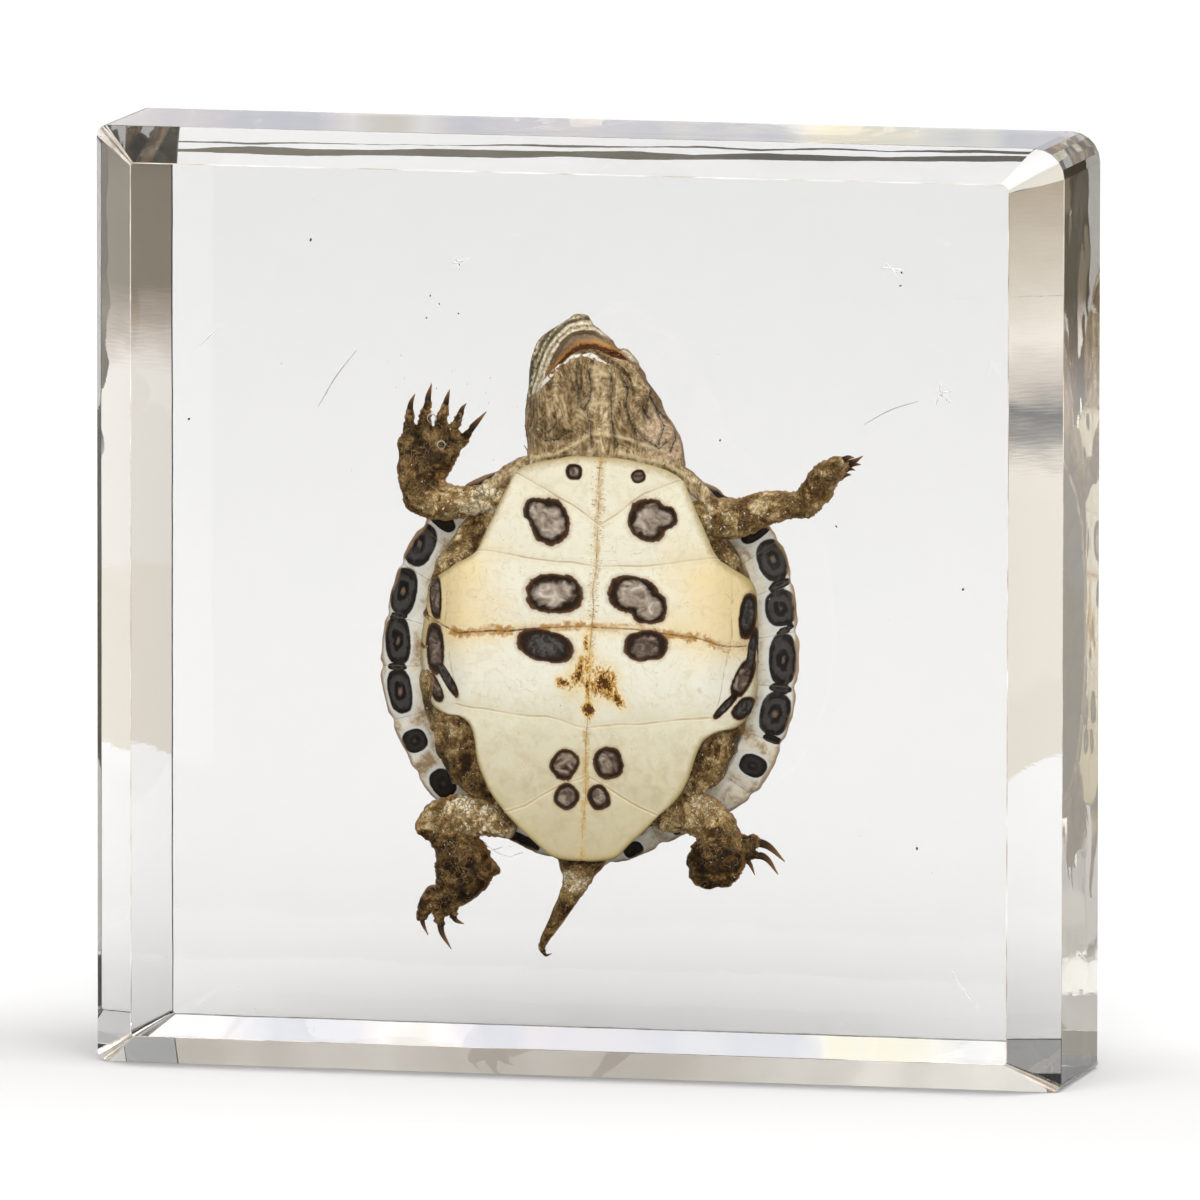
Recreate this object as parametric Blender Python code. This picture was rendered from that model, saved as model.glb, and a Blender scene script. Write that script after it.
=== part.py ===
"""Dry hatchling turtle sealed in a clear resin block that stands on its narrow foot.

The block's front faces -Y, its width lies along X and its height along Z. The origin is at the
middle of the foot. The turtle shows its belly to the front, head up. Left and right are as seen
from the front. Everything is modelled in millimetres, and to_metres() scales the finished meshes.
"""
import math

import bmesh
import bpy
import numpy as np
from mathutils import Matrix, Vector

MM = 0.001

# The clear block
BLOCK_WIDTH = 75.0
BLOCK_HEIGHT = 71.6
BLOCK_DEPTH = 20.0
SIDE_BEVEL = 3.5
END_BEVEL = 2.45
BEVEL_DEPTH = 3.5
CORNER_RADII = (0.9, 0.7, 2.3, 0.8)
FACE_CORNER_SHARE = 0.3
CORNER_STEPS = 3
PARTING_Y = -1.5
GAP = 0.3
CLEARANCE = 0.4
FRONT_CLEARANCE = 0.6

# The shell: depths run from the plastron at the front to the top of the dome behind
SHELL_X = 0.2
SHELL_Z = 31.0
SHELL_SIDES = 36
RIM_Y = 0.2
FRONT_FLARE = 2.4
REAR_FLARE = 0.8
DOME_HEIGHT = 7.2
DOME_POWER = 0.75
KEEL_HEIGHT = 0.45
KEEL_WIDTH = 1.6
SHELL_WALL = 1.0
RIM_SHARE = 0.975
RIM_THICKNESS = 0.5
CARAPACE_OUTLINE = (
    (1.0, 47.0), (5.2, 46.5), (8.8, 45.3), (11.4, 44.0), (14.2, 42.0), (15.8, 38.8),
    (16.5, 34.0), (16.4, 29.5), (15.6, 26.2), (13.1, 21.5), (8.0, 18.4), (1.6, 15.6),
    (-3.3, 16.1), (-7.5, 18.0), (-12.1, 20.4), (-14.6, 24.5), (-16.1, 28.7), (-16.1, 32.5),
    (-15.2, 37.2), (-13.3, 41.2), (-9.9, 44.5), (-5.0, 46.3),
)
OUTER_SHARES = (1.0, 0.95, 0.85, 0.7, 0.5, 0.25)
INNER_SHARES = (0.68, 0.5, 0.27)

# The underside of the marginal plates: inner edge as a share of the outline, then inset and lift
BAND_SHARE = 0.8
BAND_NARROWING = 0.08
BAND_THICKNESS = 1.3
BAND_ROWS = ((0.0, -BAND_THICKNESS), (0.03, -1.0), (0.04, 1.0))
POCKET_WAIST = 0.9

PLASTRON_X = 0.6
PLASTRON_Z = 31.5
PLASTRON_Y = -5.6
PLASTRON_WALL = 0.9
BRIDGE_START = 8.5
BRIDGE_CURVE = 0.17
PLASTRON_SHARES = (0.4, 0.7, 0.86, 0.96)
PLASTRON_OUTLINE = (
    (2.2, 47.6), (5.5, 47.1), (8.2, 46.1), (9.0, 44.4), (10.1, 41.9), (11.1, 40.0),
    (13.3, 38.0), (13.6, 35.0), (13.4, 31.5), (12.3, 28.9), (10.2, 27.8), (9.3, 25.2),
    (8.9, 23.2), (7.2, 20.6), (4.5, 18.1), (2.5, 16.5), (-1.4, 16.5), (-4.0, 18.3),
    (-6.5, 20.9), (-7.7, 23.6), (-8.2, 27.4), (-10.2, 29.6), (-12.2, 31.5), (-12.4, 34.5),
    (-11.8, 37.3), (-10.2, 38.7), (-8.2, 39.9), (-6.9, 42.1), (-5.7, 44.6), (-4.6, 46.5),
    (-1.2, 47.4),
)

# Rows of the trunk: share of the carapace outline, swelling into the leg pits, depth y
TRUNK_SIDES = 24
TRUNK_RINGS = ((0.32, 0.0, -4.2), (0.54, 0.16, -3.8), (0.67, 0.13, -2.6), (0.72, 0.05, -1.3),
               (0.72, 0.0, 0.3), (0.58, 0.0, 2.8), (0.32, 0.0, 4.4))

# A row of a soft part: x, z, depth y, half width in the front view, half depth
LIMB_SIDES = 8
DIGIT_SIDES = 6
HEAD_SIDES = 16
SKULL = (
    (1.5, 43.9, -1.9, 5.4, 2.2), (1.65, 46.5, -1.8, 6.3, 2.6), (1.25, 48.8, -1.7, 5.6, 3.0),
    (0.8, 51.0, -1.6, 5.2, 3.3), (0.35, 53.4, -0.4, 4.4, 2.3), (0.1, 55.4, -0.3, 3.3, 2.0),
    (0.05, 57.0, -0.4, 1.9, 1.5), (-0.1, 58.0, -0.5, 0.5, 0.5),
)
LOWER_JAW = (
    (0.85, 49.4, -3.4, 4.4, 1.6), (0.55, 52.0, -4.0, 4.0, 1.15), (0.4, 53.8, -4.45, 2.9, 0.8),
    (0.35, 55.0, -4.8, 1.3, 0.5),
)
PALATE = ((0.5, 51.6, -3.0, 3.0, 1.5), (0.35, 53.5, -3.0, 3.0, 1.5), (0.15, 55.2, -2.9, 2.1, 1.4),
          (0.1, 56.3, -2.7, 0.8, 1.1))
TAIL = (
    (-0.2, 17.6, -2.3, 1.8, 1.3), (-0.35, 15.9, -2.2, 1.75, 1.2), (-0.5, 14.6, -2.0, 1.05, 1.0),
    (-1.3, 13.2, -1.9, 0.8, 0.8), (-2.2, 11.65, -1.8, 0.6, 0.6), (-3.0, 10.4, -1.7, 0.4, 0.4),
    (-3.3, 9.5, -1.6, 0.27, 0.27), (-2.95, 9.0, -1.6, 0.22, 0.22), (-2.5, 9.1, -1.6, 0.08, 0.08),
)

# Each leg is a few straight bulging lengths, and digits that end in claws
FRONT_LEG_LEFT = (
    ((-5.8, 43.4, -2.6, 0.8, 0.7), (-9.0, 43.3, -2.5, 1.35, 1.2), (-11.0, 43.4, -2.4, 1.6, 1.3),
     (-13.0, 43.7, -2.2, 1.3, 1.1)),
    ((-12.6, 43.0, -2.2, 1.2, 1.0), (-12.6, 44.9, -2.0, 2.0, 1.3), (-12.2, 47.2, -1.9, 2.65, 1.1),
     (-11.8, 48.9, -1.8, 2.5, 0.8)),
)
FRONT_LEG_RIGHT = (
    ((8.8, 42.9, -2.6, 0.8, 0.7), (12.2, 42.8, -2.5, 1.6, 1.3), (14.4, 43.7, -2.4, 1.4, 1.2),
     (17.4, 43.9, -2.2, 1.0, 1.0)),
    ((17.0, 43.4, -2.2, 0.9, 0.9), (17.8, 45.0, -2.1, 1.3, 1.2), (18.8, 46.2, -2.0, 1.15, 1.6),
     (20.0, 47.0, -2.0, 0.8, 1.5)),
)
HIND_LEG_LEFT = (
    ((-6.0, 19.0, -2.7, 0.9, 0.7), (-9.2, 19.5, -2.5, 1.6, 1.2), (-11.2, 19.1, -2.4, 1.5, 1.2),
     (-12.2, 18.5, -2.3, 0.9, 0.9)),
    ((-10.8, 19.2, -2.4, 1.4, 1.1), (-9.8, 17.0, -2.2, 1.9, 1.4), (-9.0, 15.5, -2.0, 2.6, 1.5),
     (-9.8, 13.8, -1.9, 1.9, 1.3), (-10.8, 12.8, -1.8, 1.3, 0.9)),
)
HIND_LEG_RIGHT = (
    ((6.6, 19.9, -2.7, 0.9, 0.7), (9.3, 20.0, -2.5, 1.7, 1.2), (10.9, 18.8, -2.3, 1.6, 1.2)),
    ((10.6, 19.4, -2.4, 1.5, 1.1), (10.5, 17.8, -2.2, 2.0, 1.4), (10.1, 16.3, -2.0, 2.45, 1.5),
     (9.7, 14.7, -1.9, 1.5, 1.0)),
)

# A digit: root, knuckle and claw tip, each x, z and depth
DIGIT_WIDTHS = (0.62, 0.55, 0.3, 0.07)
CLAW_START = 0.35
LEFT_FINGERS = (
    ((-13.6, 48.3, -1.9), (-13.5, 50.0, -1.8), (-13.2, 51.4, -1.7)),
    ((-12.5, 48.6, -1.9), (-12.1, 50.7, -1.8), (-11.9, 52.2, -1.7)),
    ((-11.3, 48.6, -1.9), (-10.8, 50.5, -1.8), (-10.5, 51.8, -1.7)),
    ((-10.6, 48.2, -1.9), (-9.6, 49.9, -1.8), (-9.2, 50.8, -1.7)),
    ((-10.3, 47.3, -1.9), (-8.8, 48.9, -1.8), (-7.7, 50.1, -1.7)),
)
RIGHT_FINGERS = (
    ((19.5, 47.0, -3.1), (20.4, 47.6, -3.2), (21.2, 47.8, -3.3)),
    ((19.6, 46.9, -2.6), (20.7, 47.3, -2.7), (21.7, 47.6, -2.7)),
    ((19.6, 46.7, -2.0), (20.6, 47.0, -2.0), (21.5, 47.1, -2.0)),
    ((19.4, 46.5, -1.4), (20.3, 46.7, -1.3), (21.0, 46.7, -1.3)),
    ((19.2, 46.3, -0.9), (20.0, 46.3, -0.8), (20.7, 46.3, -0.7)),
)
LEFT_TOES = (
    ((-11.6, 14.0, -1.9), (-12.6, 12.1, -1.8), (-12.1, 10.4, -1.7)),
    ((-11.1, 13.6, -1.9), (-11.3, 11.4, -1.8), (-10.5, 9.3, -1.7)),
    ((-10.2, 13.6, -1.9), (-10.3, 12.0, -1.8), (-9.5, 11.1, -1.7)),
)
RIGHT_TOES = (
    ((11.2, 17.9, -2.0), (13.3, 18.4, -1.9), (15.5, 16.9, -1.7)),
    ((11.2, 17.2, -2.0), (13.3, 17.2, -1.9), (15.0, 15.8, -1.7)),
    ((11.2, 16.6, -2.0), (12.6, 16.7, -1.9), (13.3, 15.7, -1.8)),
)

# Colour, roughness and transmission of each material
MATERIALS = {
    "clear_resin": ((0.93, 0.94, 0.95), 0.04, 1.0),
    "dark_shell": ((0.11, 0.095, 0.07), 0.35, 0.0),
    "cream_shell": ((0.82, 0.77, 0.58), 0.35, 0.0),
    "dry_skin": ((0.2, 0.145, 0.085), 0.45, 0.0),
}


def clear_scene():
    for item in list(bpy.data.objects):
        bpy.data.objects.remove(item, do_unlink=True)


def make_material(name):
    colour, roughness, transmission = MATERIALS[name]
    material = bpy.data.materials.new(name)
    material.use_nodes = True
    shader = material.node_tree.nodes["Principled BSDF"]
    shader.inputs["Base Color"].default_value = (*colour, 1.0)
    shader.inputs["Roughness"].default_value = roughness
    shader.inputs["Metallic"].default_value = 0.0
    shader.inputs["Transmission Weight"].default_value = transmission
    return material


def solid(name, rings, material=None):
    """A closed body whose skin runs from ring to ring. A ring of one point is a pole."""
    mesh = bpy.data.meshes.new(name)
    bm = bmesh.new()
    rows = [[bm.verts.new(co) for co in ring] for ring in rings]
    for first, second in zip(rows, rows[1:]):
        join_rows(bm, first, second)
    for end in (rows[0], rows[-1]):
        if len(end) > 1:
            bm.faces.new(end)
    bmesh.ops.recalc_face_normals(bm, faces=bm.faces)
    bm.to_mesh(mesh)
    bm.free()
    item = bpy.data.objects.new(name, mesh)
    bpy.context.scene.collection.objects.link(item)
    if material:
        mesh.materials.append(material)
    return item


def join_rows(bm, first, second):
    count = max(len(first), len(second))
    for i in range(count):
        j = (i + 1) % count
        if len(first) == 1:
            bm.faces.new((first[0], second[i], second[j]))
        elif len(second) == 1:
            bm.faces.new((first[i], second[0], first[j]))
        else:
            bm.faces.new((first[i], second[i], second[j], first[j]))


def combine(target, tools, operation):
    """Union or difference of a body with others, which may cross each other and are used up."""
    bm = bmesh.new()
    for tool in tools:
        bm.from_mesh(tool.data)
        bpy.data.objects.remove(tool, do_unlink=True)
    joined = bpy.data.meshes.new("tools")
    bm.to_mesh(joined)
    bm.free()
    cutter = bpy.data.objects.new("tools", joined)
    bpy.context.scene.collection.objects.link(cutter)
    step = target.modifiers.new("step", "BOOLEAN")
    step.operation = operation
    step.solver = "EXACT"
    step.use_self = True
    step.object = cutter
    graph = bpy.context.evaluated_depsgraph_get()
    result = bpy.data.meshes.new_from_object(target.evaluated_get(graph))
    target.modifiers.remove(step)
    target.data = result
    bpy.data.objects.remove(cutter, do_unlink=True)
    return target


def smooth_parts(item, angle=40.0):
    item.data.shade_smooth()
    item.data.set_sharp_from_angle(angle=math.radians(angle))


def closed_curve(points, samples=8):
    """Points on a smooth closed curve that passes through the given ones."""
    path = np.array(points)
    before, after, beyond = (np.roll(path, shift, axis=0) for shift in (1, -1, -2))
    curve = []
    for t in np.arange(samples) / samples:
        curve.append(0.5 * (2 * path + (after - before) * t
                            + (2 * before - 5 * path + 4 * after - beyond) * t ** 2
                            + (3 * path - before - 3 * after + beyond) * t ** 3))
    return np.concatenate(curve)


def outline_radii(points, centre_x, centre_z, sides):
    """Distance from the centre to the outline, at evenly spaced angles."""
    curve = closed_curve(points) - np.array((centre_x, centre_z))
    angles = np.arctan2(curve[:, 1], curve[:, 0])
    radii = np.hypot(curve[:, 0], curve[:, 1])
    wanted = 2 * math.pi * np.arange(sides) / sides
    return wanted, np.interp(wanted, angles, radii, period=2 * math.pi)


def rim_depth(angle):
    rise = math.sin(angle)
    flare = FRONT_FLARE if rise > 0 else REAR_FLARE
    return RIM_Y + flare * rise ** 2


def dome_depth(share, angle, x):
    dome = DOME_HEIGHT * (1 - share ** 2) ** DOME_POWER
    keel = KEEL_HEIGHT * math.exp(-((x - SHELL_X) / KEEL_WIDTH) ** 2) * (1 - share ** 2)
    return rim_depth(angle) * share ** 2 + dome + keel


def shell_ring(share, depth_at, grow=0.0):
    """One ring of the shell: a share of the carapace outline, at the depth the rule gives."""
    ring = []
    for angle, radius in zip(*outline_radii(CARAPACE_OUTLINE, SHELL_X, SHELL_Z, SHELL_SIDES)):
        reach = radius * share + grow
        x = SHELL_X + reach * math.cos(angle)
        ring.append(Vector((x, depth_at(angle, x), SHELL_Z + reach * math.sin(angle))))
    return ring


def band_share(angle):
    return BAND_SHARE + BAND_NARROWING * math.sin(angle) ** 2


def band_ring(inset, lift):
    """A ring on the underside of the marginal plates, near their inner edge."""
    ring = []
    for angle, radius in zip(*outline_radii(CARAPACE_OUTLINE, SHELL_X, SHELL_Z, SHELL_SIDES)):
        reach = radius * (band_share(angle) - inset)
        ring.append(Vector((SHELL_X + reach * math.cos(angle), rim_depth(angle) + lift,
                            SHELL_Z + reach * math.sin(angle))))
    return ring


def make_carapace(material):
    top = Vector((SHELL_X, DOME_HEIGHT + KEEL_HEIGHT, SHELL_Z))
    rings = [[top]]
    for share in reversed(OUTER_SHARES):
        rings.append(shell_ring(share, lambda angle, x, s=share: dome_depth(s, angle, x)))
    rings.append(shell_ring(RIM_SHARE, lambda angle, x: rim_depth(angle) - RIM_THICKNESS))
    rings += [band_ring(*row) for row in BAND_ROWS]
    for share in INNER_SHARES:
        rings.append(shell_ring(share, lambda angle, x, s=share: dome_depth(s, angle, x) - SHELL_WALL))
    rings.append([top - Vector((0, SHELL_WALL, 0))])
    return solid("carapace", rings, material)


def plastron_depth(x):
    past_start = max(0.0, abs(x - PLASTRON_X) - BRIDGE_START)
    return PLASTRON_Y + BRIDGE_CURVE * past_start ** 2


def plastron_ring(share, lift, grow=0.0, deepest=math.inf):
    """One ring of the belly shell, lifted off its front surface but no deeper than the last value."""
    ring = []
    for angle, radius in zip(*outline_radii(PLASTRON_OUTLINE, PLASTRON_X, PLASTRON_Z, SHELL_SIDES)):
        reach = radius * share + grow
        x = PLASTRON_X + reach * math.cos(angle)
        y = min(plastron_depth(x) + lift, deepest)
        ring.append(Vector((x, y, PLASTRON_Z + reach * math.sin(angle))))
    return ring


def make_plastron(material):
    rings = [[Vector((PLASTRON_X, PLASTRON_Y, PLASTRON_Z))]]
    rings += [plastron_ring(share, 0.0) for share in PLASTRON_SHARES]
    rings.append(plastron_ring(1.0, PLASTRON_WALL / 2))
    rings += [plastron_ring(share, PLASTRON_WALL) for share in reversed(PLASTRON_SHARES)]
    rings.append([Vector((PLASTRON_X, PLASTRON_Y + PLASTRON_WALL, PLASTRON_Z))])
    return solid("plastron", rings, material)


def trunk_ring(share, swell, depth):
    ring = []
    for angle, radius in zip(*outline_radii(CARAPACE_OUTLINE, SHELL_X, SHELL_Z, TRUNK_SIDES)):
        reach = radius * share * (1 + swell * math.sin(2 * angle) ** 2)
        ring.append(Vector((SHELL_X + reach * math.cos(angle), depth, SHELL_Z + reach * math.sin(angle))))
    return ring


def make_body(material):
    return solid("body", [trunk_ring(*row) for row in TRUNK_RINGS], material)


def soft_rings(rows, sides, grow=0.0):
    """Oval rings square to the line through the rows. Growth also lengthens both ends."""
    centres = [Vector((x, y, z)) for x, z, y, _, _ in rows]
    rings = []
    for i, (row, centre) in enumerate(zip(rows, centres)):
        along = (centres[min(i + 1, len(rows) - 1)] - centres[max(i - 1, 0)]).normalized()
        through = (Vector((0, 1, 0)) - along * along.y).normalized()
        across = along.cross(through)
        if i == 0:
            centre = centre - along * grow
        if i == len(rows) - 1:
            centre = centre + along * grow
        half_width, half_depth = (size + grow for size in row[3:])
        rings.append([centre + across * half_width * math.cos(turn)
                      + through * half_depth * math.sin(turn)
                      for turn in (2 * math.pi * k / sides for k in range(sides))])
    return rings


def digit_rows(root, knuckle, tip):
    """Root to knuckle is flesh, and the claw runs on from there to its tip."""
    claw = [k + (t - k) * CLAW_START for k, t in zip(knuckle, tip)]
    places = (root, knuckle, claw, tip)
    return [(*place, width, width) for place, width in zip(places, DIGIT_WIDTHS)]


def limb_bodies(name, lengths, digits, grow=0.0):
    bodies = [solid(name, soft_rings(rows, LIMB_SIDES, grow)) for rows in lengths]
    bodies += [solid(name, soft_rings(digit_rows(*digit), DIGIT_SIDES, grow)) for digit in digits]
    return bodies


def make_limb(name, lengths, digits, material):
    first, *others = limb_bodies(name, lengths, digits)
    limb = combine(first, others, "UNION")
    limb.name = name
    set_material(limb, material)
    return limb


def make_head(material):
    head = solid("head", soft_rings(SKULL, HEAD_SIDES))
    combine(head, [solid("palate", soft_rings(PALATE, LIMB_SIDES))], "DIFFERENCE")
    combine(head, [solid("jaw", soft_rings(LOWER_JAW, LIMB_SIDES))], "UNION")
    set_material(head, material)
    return head


def set_material(item, material):
    item.data.materials.clear()
    item.data.materials.append(material)


LIMBS = {
    "front_leg_left": (FRONT_LEG_LEFT, LEFT_FINGERS),
    "front_leg_right": (FRONT_LEG_RIGHT, RIGHT_FINGERS),
    "hind_leg_left": (HIND_LEG_LEFT, LEFT_TOES),
    "hind_leg_right": (HIND_LEG_RIGHT, RIGHT_TOES),
}


def shell_pocket():
    """The room for both shells, a clearance larger than they are all round."""
    rings = [[Vector((PLASTRON_X, PLASTRON_Y - FRONT_CLEARANCE, PLASTRON_Z))]]
    rings += [plastron_ring(share, -FRONT_CLEARANCE) for share in PLASTRON_SHARES]
    rings.append(plastron_ring(1.0, -FRONT_CLEARANCE, CLEARANCE))
    rings.append(plastron_ring(1.0, PLASTRON_WALL / 2, CLEARANCE, PARTING_Y - CLEARANCE))
    rings.append(shell_ring(POCKET_WAIST,
                            lambda angle, x: rim_depth(angle) - BAND_THICKNESS - FRONT_CLEARANCE))
    rings.append(shell_ring(1.0, lambda angle, x: rim_depth(angle) - RIM_THICKNESS - CLEARANCE, CLEARANCE))
    for share in OUTER_SHARES:
        rings.append(shell_ring(share, lambda angle, x, s=share: dome_depth(s, angle, x) + CLEARANCE,
                                CLEARANCE))
    rings.append([Vector((SHELL_X, DOME_HEIGHT + KEEL_HEIGHT + CLEARANCE, SHELL_Z))])
    return solid("pocket", rings)


def make_pocket():
    tools = [solid("pocket", soft_rings(SKULL, HEAD_SIDES, CLEARANCE)),
             solid("pocket", soft_rings(LOWER_JAW, LIMB_SIDES, CLEARANCE)),
             solid("pocket", soft_rings(TAIL, LIMB_SIDES, CLEARANCE))]
    for name, (lengths, digits) in LIMBS.items():
        tools += limb_bodies(name, lengths, digits, CLEARANCE)
    return combine(shell_pocket(), tools, "UNION")


def block_ring(side_inset, end_inset, corner_share, y):
    """A rectangle across the block with rounded corners, from the bottom left one round."""
    half = BLOCK_WIDTH / 2 - side_inset
    low, high = end_inset, BLOCK_HEIGHT - end_inset
    corners = ((-half, low), (half, low), (half, high), (-half, high))
    ring = []
    for quarter, ((x, z), radius) in enumerate(zip(corners, CORNER_RADII)):
        radius *= corner_share
        centre_x = x - math.copysign(radius, x)
        centre_z = z + radius if z == low else z - radius
        for step in range(CORNER_STEPS + 1):
            turn = math.pi * (1 + 0.5 * (quarter + step / CORNER_STEPS))
            ring.append(Vector((centre_x + radius * math.cos(turn), y, centre_z + radius * math.sin(turn))))
    return ring


def make_half(name, face_y, parting_y, material):
    shoulder_y = math.copysign(BLOCK_DEPTH / 2 - BEVEL_DEPTH, face_y)
    rings = [block_ring(SIDE_BEVEL, END_BEVEL, FACE_CORNER_SHARE, face_y),
             block_ring(0, 0, 1.0, shoulder_y), block_ring(0, 0, 1.0, parting_y)]
    half = solid(name, rings)
    combine(half, [make_pocket()], "DIFFERENCE")
    set_material(half, material)
    return half


def to_metres():
    for item in bpy.data.objects:
        item.data.transform(Matrix.Scale(MM, 4))


def build():
    clear_scene()
    materials = {name: make_material(name) for name in MATERIALS}
    skin = materials["dry_skin"]
    resin = materials["clear_resin"]
    make_half("block_front", -BLOCK_DEPTH / 2, PARTING_Y - GAP / 2, resin)
    make_half("block_back", BLOCK_DEPTH / 2, PARTING_Y + GAP / 2, resin)
    turtle = [make_carapace(materials["dark_shell"]), make_plastron(materials["cream_shell"]),
              make_body(skin), make_head(skin), solid("tail", soft_rings(TAIL, LIMB_SIDES), skin)]
    turtle += [make_limb(name, lengths, digits, skin) for name, (lengths, digits) in LIMBS.items()]
    for piece in turtle:
        smooth_parts(piece)
    to_metres()


build()
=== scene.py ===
"""Looks of the dry hatchling turtle sealed in a clear resin block.

Shapes are worked out in millimetres in the part's frame: the block's front faces -Y, up is +Z, and
the origin is at the middle of the foot. settle() turns each finished mesh into metres.
"""
import itertools
import math

import bmesh
import bpy
import numpy as np
from mathutils import Euler, Matrix, Vector


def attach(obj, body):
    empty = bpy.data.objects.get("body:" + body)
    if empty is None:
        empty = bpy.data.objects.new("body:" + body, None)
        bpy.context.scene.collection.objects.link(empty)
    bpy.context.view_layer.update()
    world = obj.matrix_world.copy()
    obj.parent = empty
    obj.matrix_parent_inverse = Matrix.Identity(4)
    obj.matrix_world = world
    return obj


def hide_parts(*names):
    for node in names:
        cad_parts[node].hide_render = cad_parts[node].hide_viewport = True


MM = 0.001
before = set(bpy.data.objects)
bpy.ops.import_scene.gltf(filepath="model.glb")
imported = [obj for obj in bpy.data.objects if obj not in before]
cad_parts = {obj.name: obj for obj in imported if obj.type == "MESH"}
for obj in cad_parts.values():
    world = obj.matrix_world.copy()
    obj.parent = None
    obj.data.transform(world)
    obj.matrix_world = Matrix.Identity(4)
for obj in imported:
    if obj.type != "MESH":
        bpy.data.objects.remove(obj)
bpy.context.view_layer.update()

# The block, as in the solids
WIDTH, HEIGHT, DEPTH = 75.0, 71.6, 20.0
SIDE_BEVEL, END_BEVEL, BEVEL_DEPTH = 3.5, 2.45, 3.5
CORNER_RADII = (0.9, 0.7, 2.3, 0.8)
FOOT_BEVEL_DEPTH = 2.05  # the rear bevel along the foot is steeper

# The shells: outlines as seen from the front, and the depths that they follow
SHELL = np.array((0.2, 31.0))
BELLY = np.array((0.6, 31.5))
BELLY_Y = -5.6
CARAPACE_OUTLINE = (
    (1.0, 47.0), (5.2, 46.5), (8.8, 45.3), (11.4, 44.0), (14.2, 42.0), (15.8, 38.8),
    (16.5, 34.0), (16.4, 29.5), (15.6, 26.2), (13.1, 21.5), (8.0, 18.4), (1.6, 15.6),
    (-3.3, 16.1), (-7.5, 18.0), (-12.1, 20.4), (-14.6, 24.5), (-16.1, 28.7), (-16.1, 32.5),
    (-15.2, 37.2), (-13.3, 41.2), (-9.9, 44.5), (-5.0, 46.3),
)
PLASTRON_OUTLINE = (
    (2.2, 47.6), (5.5, 47.1), (8.2, 46.1), (9.0, 44.4), (10.1, 41.9), (11.1, 40.0), (13.3, 38.0),
    (13.7, 35.0), (13.7, 31.5), (13.6, 29.5), (13.2, 27.9), (12.3, 26.9), (11.0, 26.5), (10.0, 25.9),
    (9.3, 24.6), (8.7, 22.8), (7.2, 20.6), (4.5, 18.1), (2.5, 16.5), (-1.4, 16.5), (-4.0, 18.3),
    (-6.5, 20.9), (-7.7, 23.6), (-8.3, 26.3), (-9.2, 27.2), (-10.4, 27.3), (-11.7, 27.9), (-12.5, 29.5),
    (-12.8, 31.5), (-12.6, 34.5), (-11.8, 37.3), (-10.2, 38.7), (-8.2, 39.9), (-6.9, 42.1), (-5.7, 44.6),
    (-4.6, 46.5), (-1.2, 47.4),
)

# Eye spots: x, z, half width, half height, turn in degrees, darkness of the centre
BELLY_SPOTS = (
    (-0.2, 46.2, 0.64, 0.62, 0, 0.42), (4.8, 46.0, 0.56, 0.5, 20, 0.5),
    (-2.1, 42.4, 1.5, 1.8, 18, 0.0), (-2.75, 43.05, 1.4, 1.0, -20, 0.0),
    (5.6, 42.7, 1.55, 1.6, -10, 0.12), (6.35, 42.85, 1.5, 0.95, 5, 0.12),
    (-1.7, 36.9, 2.2, 1.5, 0, 0.0), (4.5, 36.9, 2.05, 1.45, -14, 0.05), (5.6, 36.1, 1.45, 1.3, 0, 0.1),
    (-2.4, 32.9, 2.2, 1.2, -12, 0.66), (5.4, 33.1, 1.7, 1.15, 4, 0.5),
    (-0.9, 23.9, 1.05, 1.2, -35, 0.45), (2.5, 24.1, 1.15, 1.25, 15, 0.5),
    (-0.75, 21.45, 0.95, 1.0, -35, 0.45), (1.75, 21.45, 0.85, 1.0, 25, 0.4),
)
BRIDGE_SPOTS = (
    (-11.35, 36.2, 0.55, 1.75, 2, 0.5), (-11.4, 32.3, 0.8, 1.95, 3, 0.4), (-10.3, 30.1, 0.4, 1.7, 36, 1.0),
    (-11.4, 29.3, 0.55, 1.2, 32, 0.5), (13.0, 35.4, 0.55, 1.75, -5, 0.8), (13.3, 32.6, 0.28, 1.9, -6, 1.0),
    (12.7, 30.7, 0.6, 1.5, -22, 0.4), (11.5, 28.6, 0.3, 1.3, -40, 1.0), (12.7, 28.4, 0.6, 0.95, -35, 0.7),
)
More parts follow.
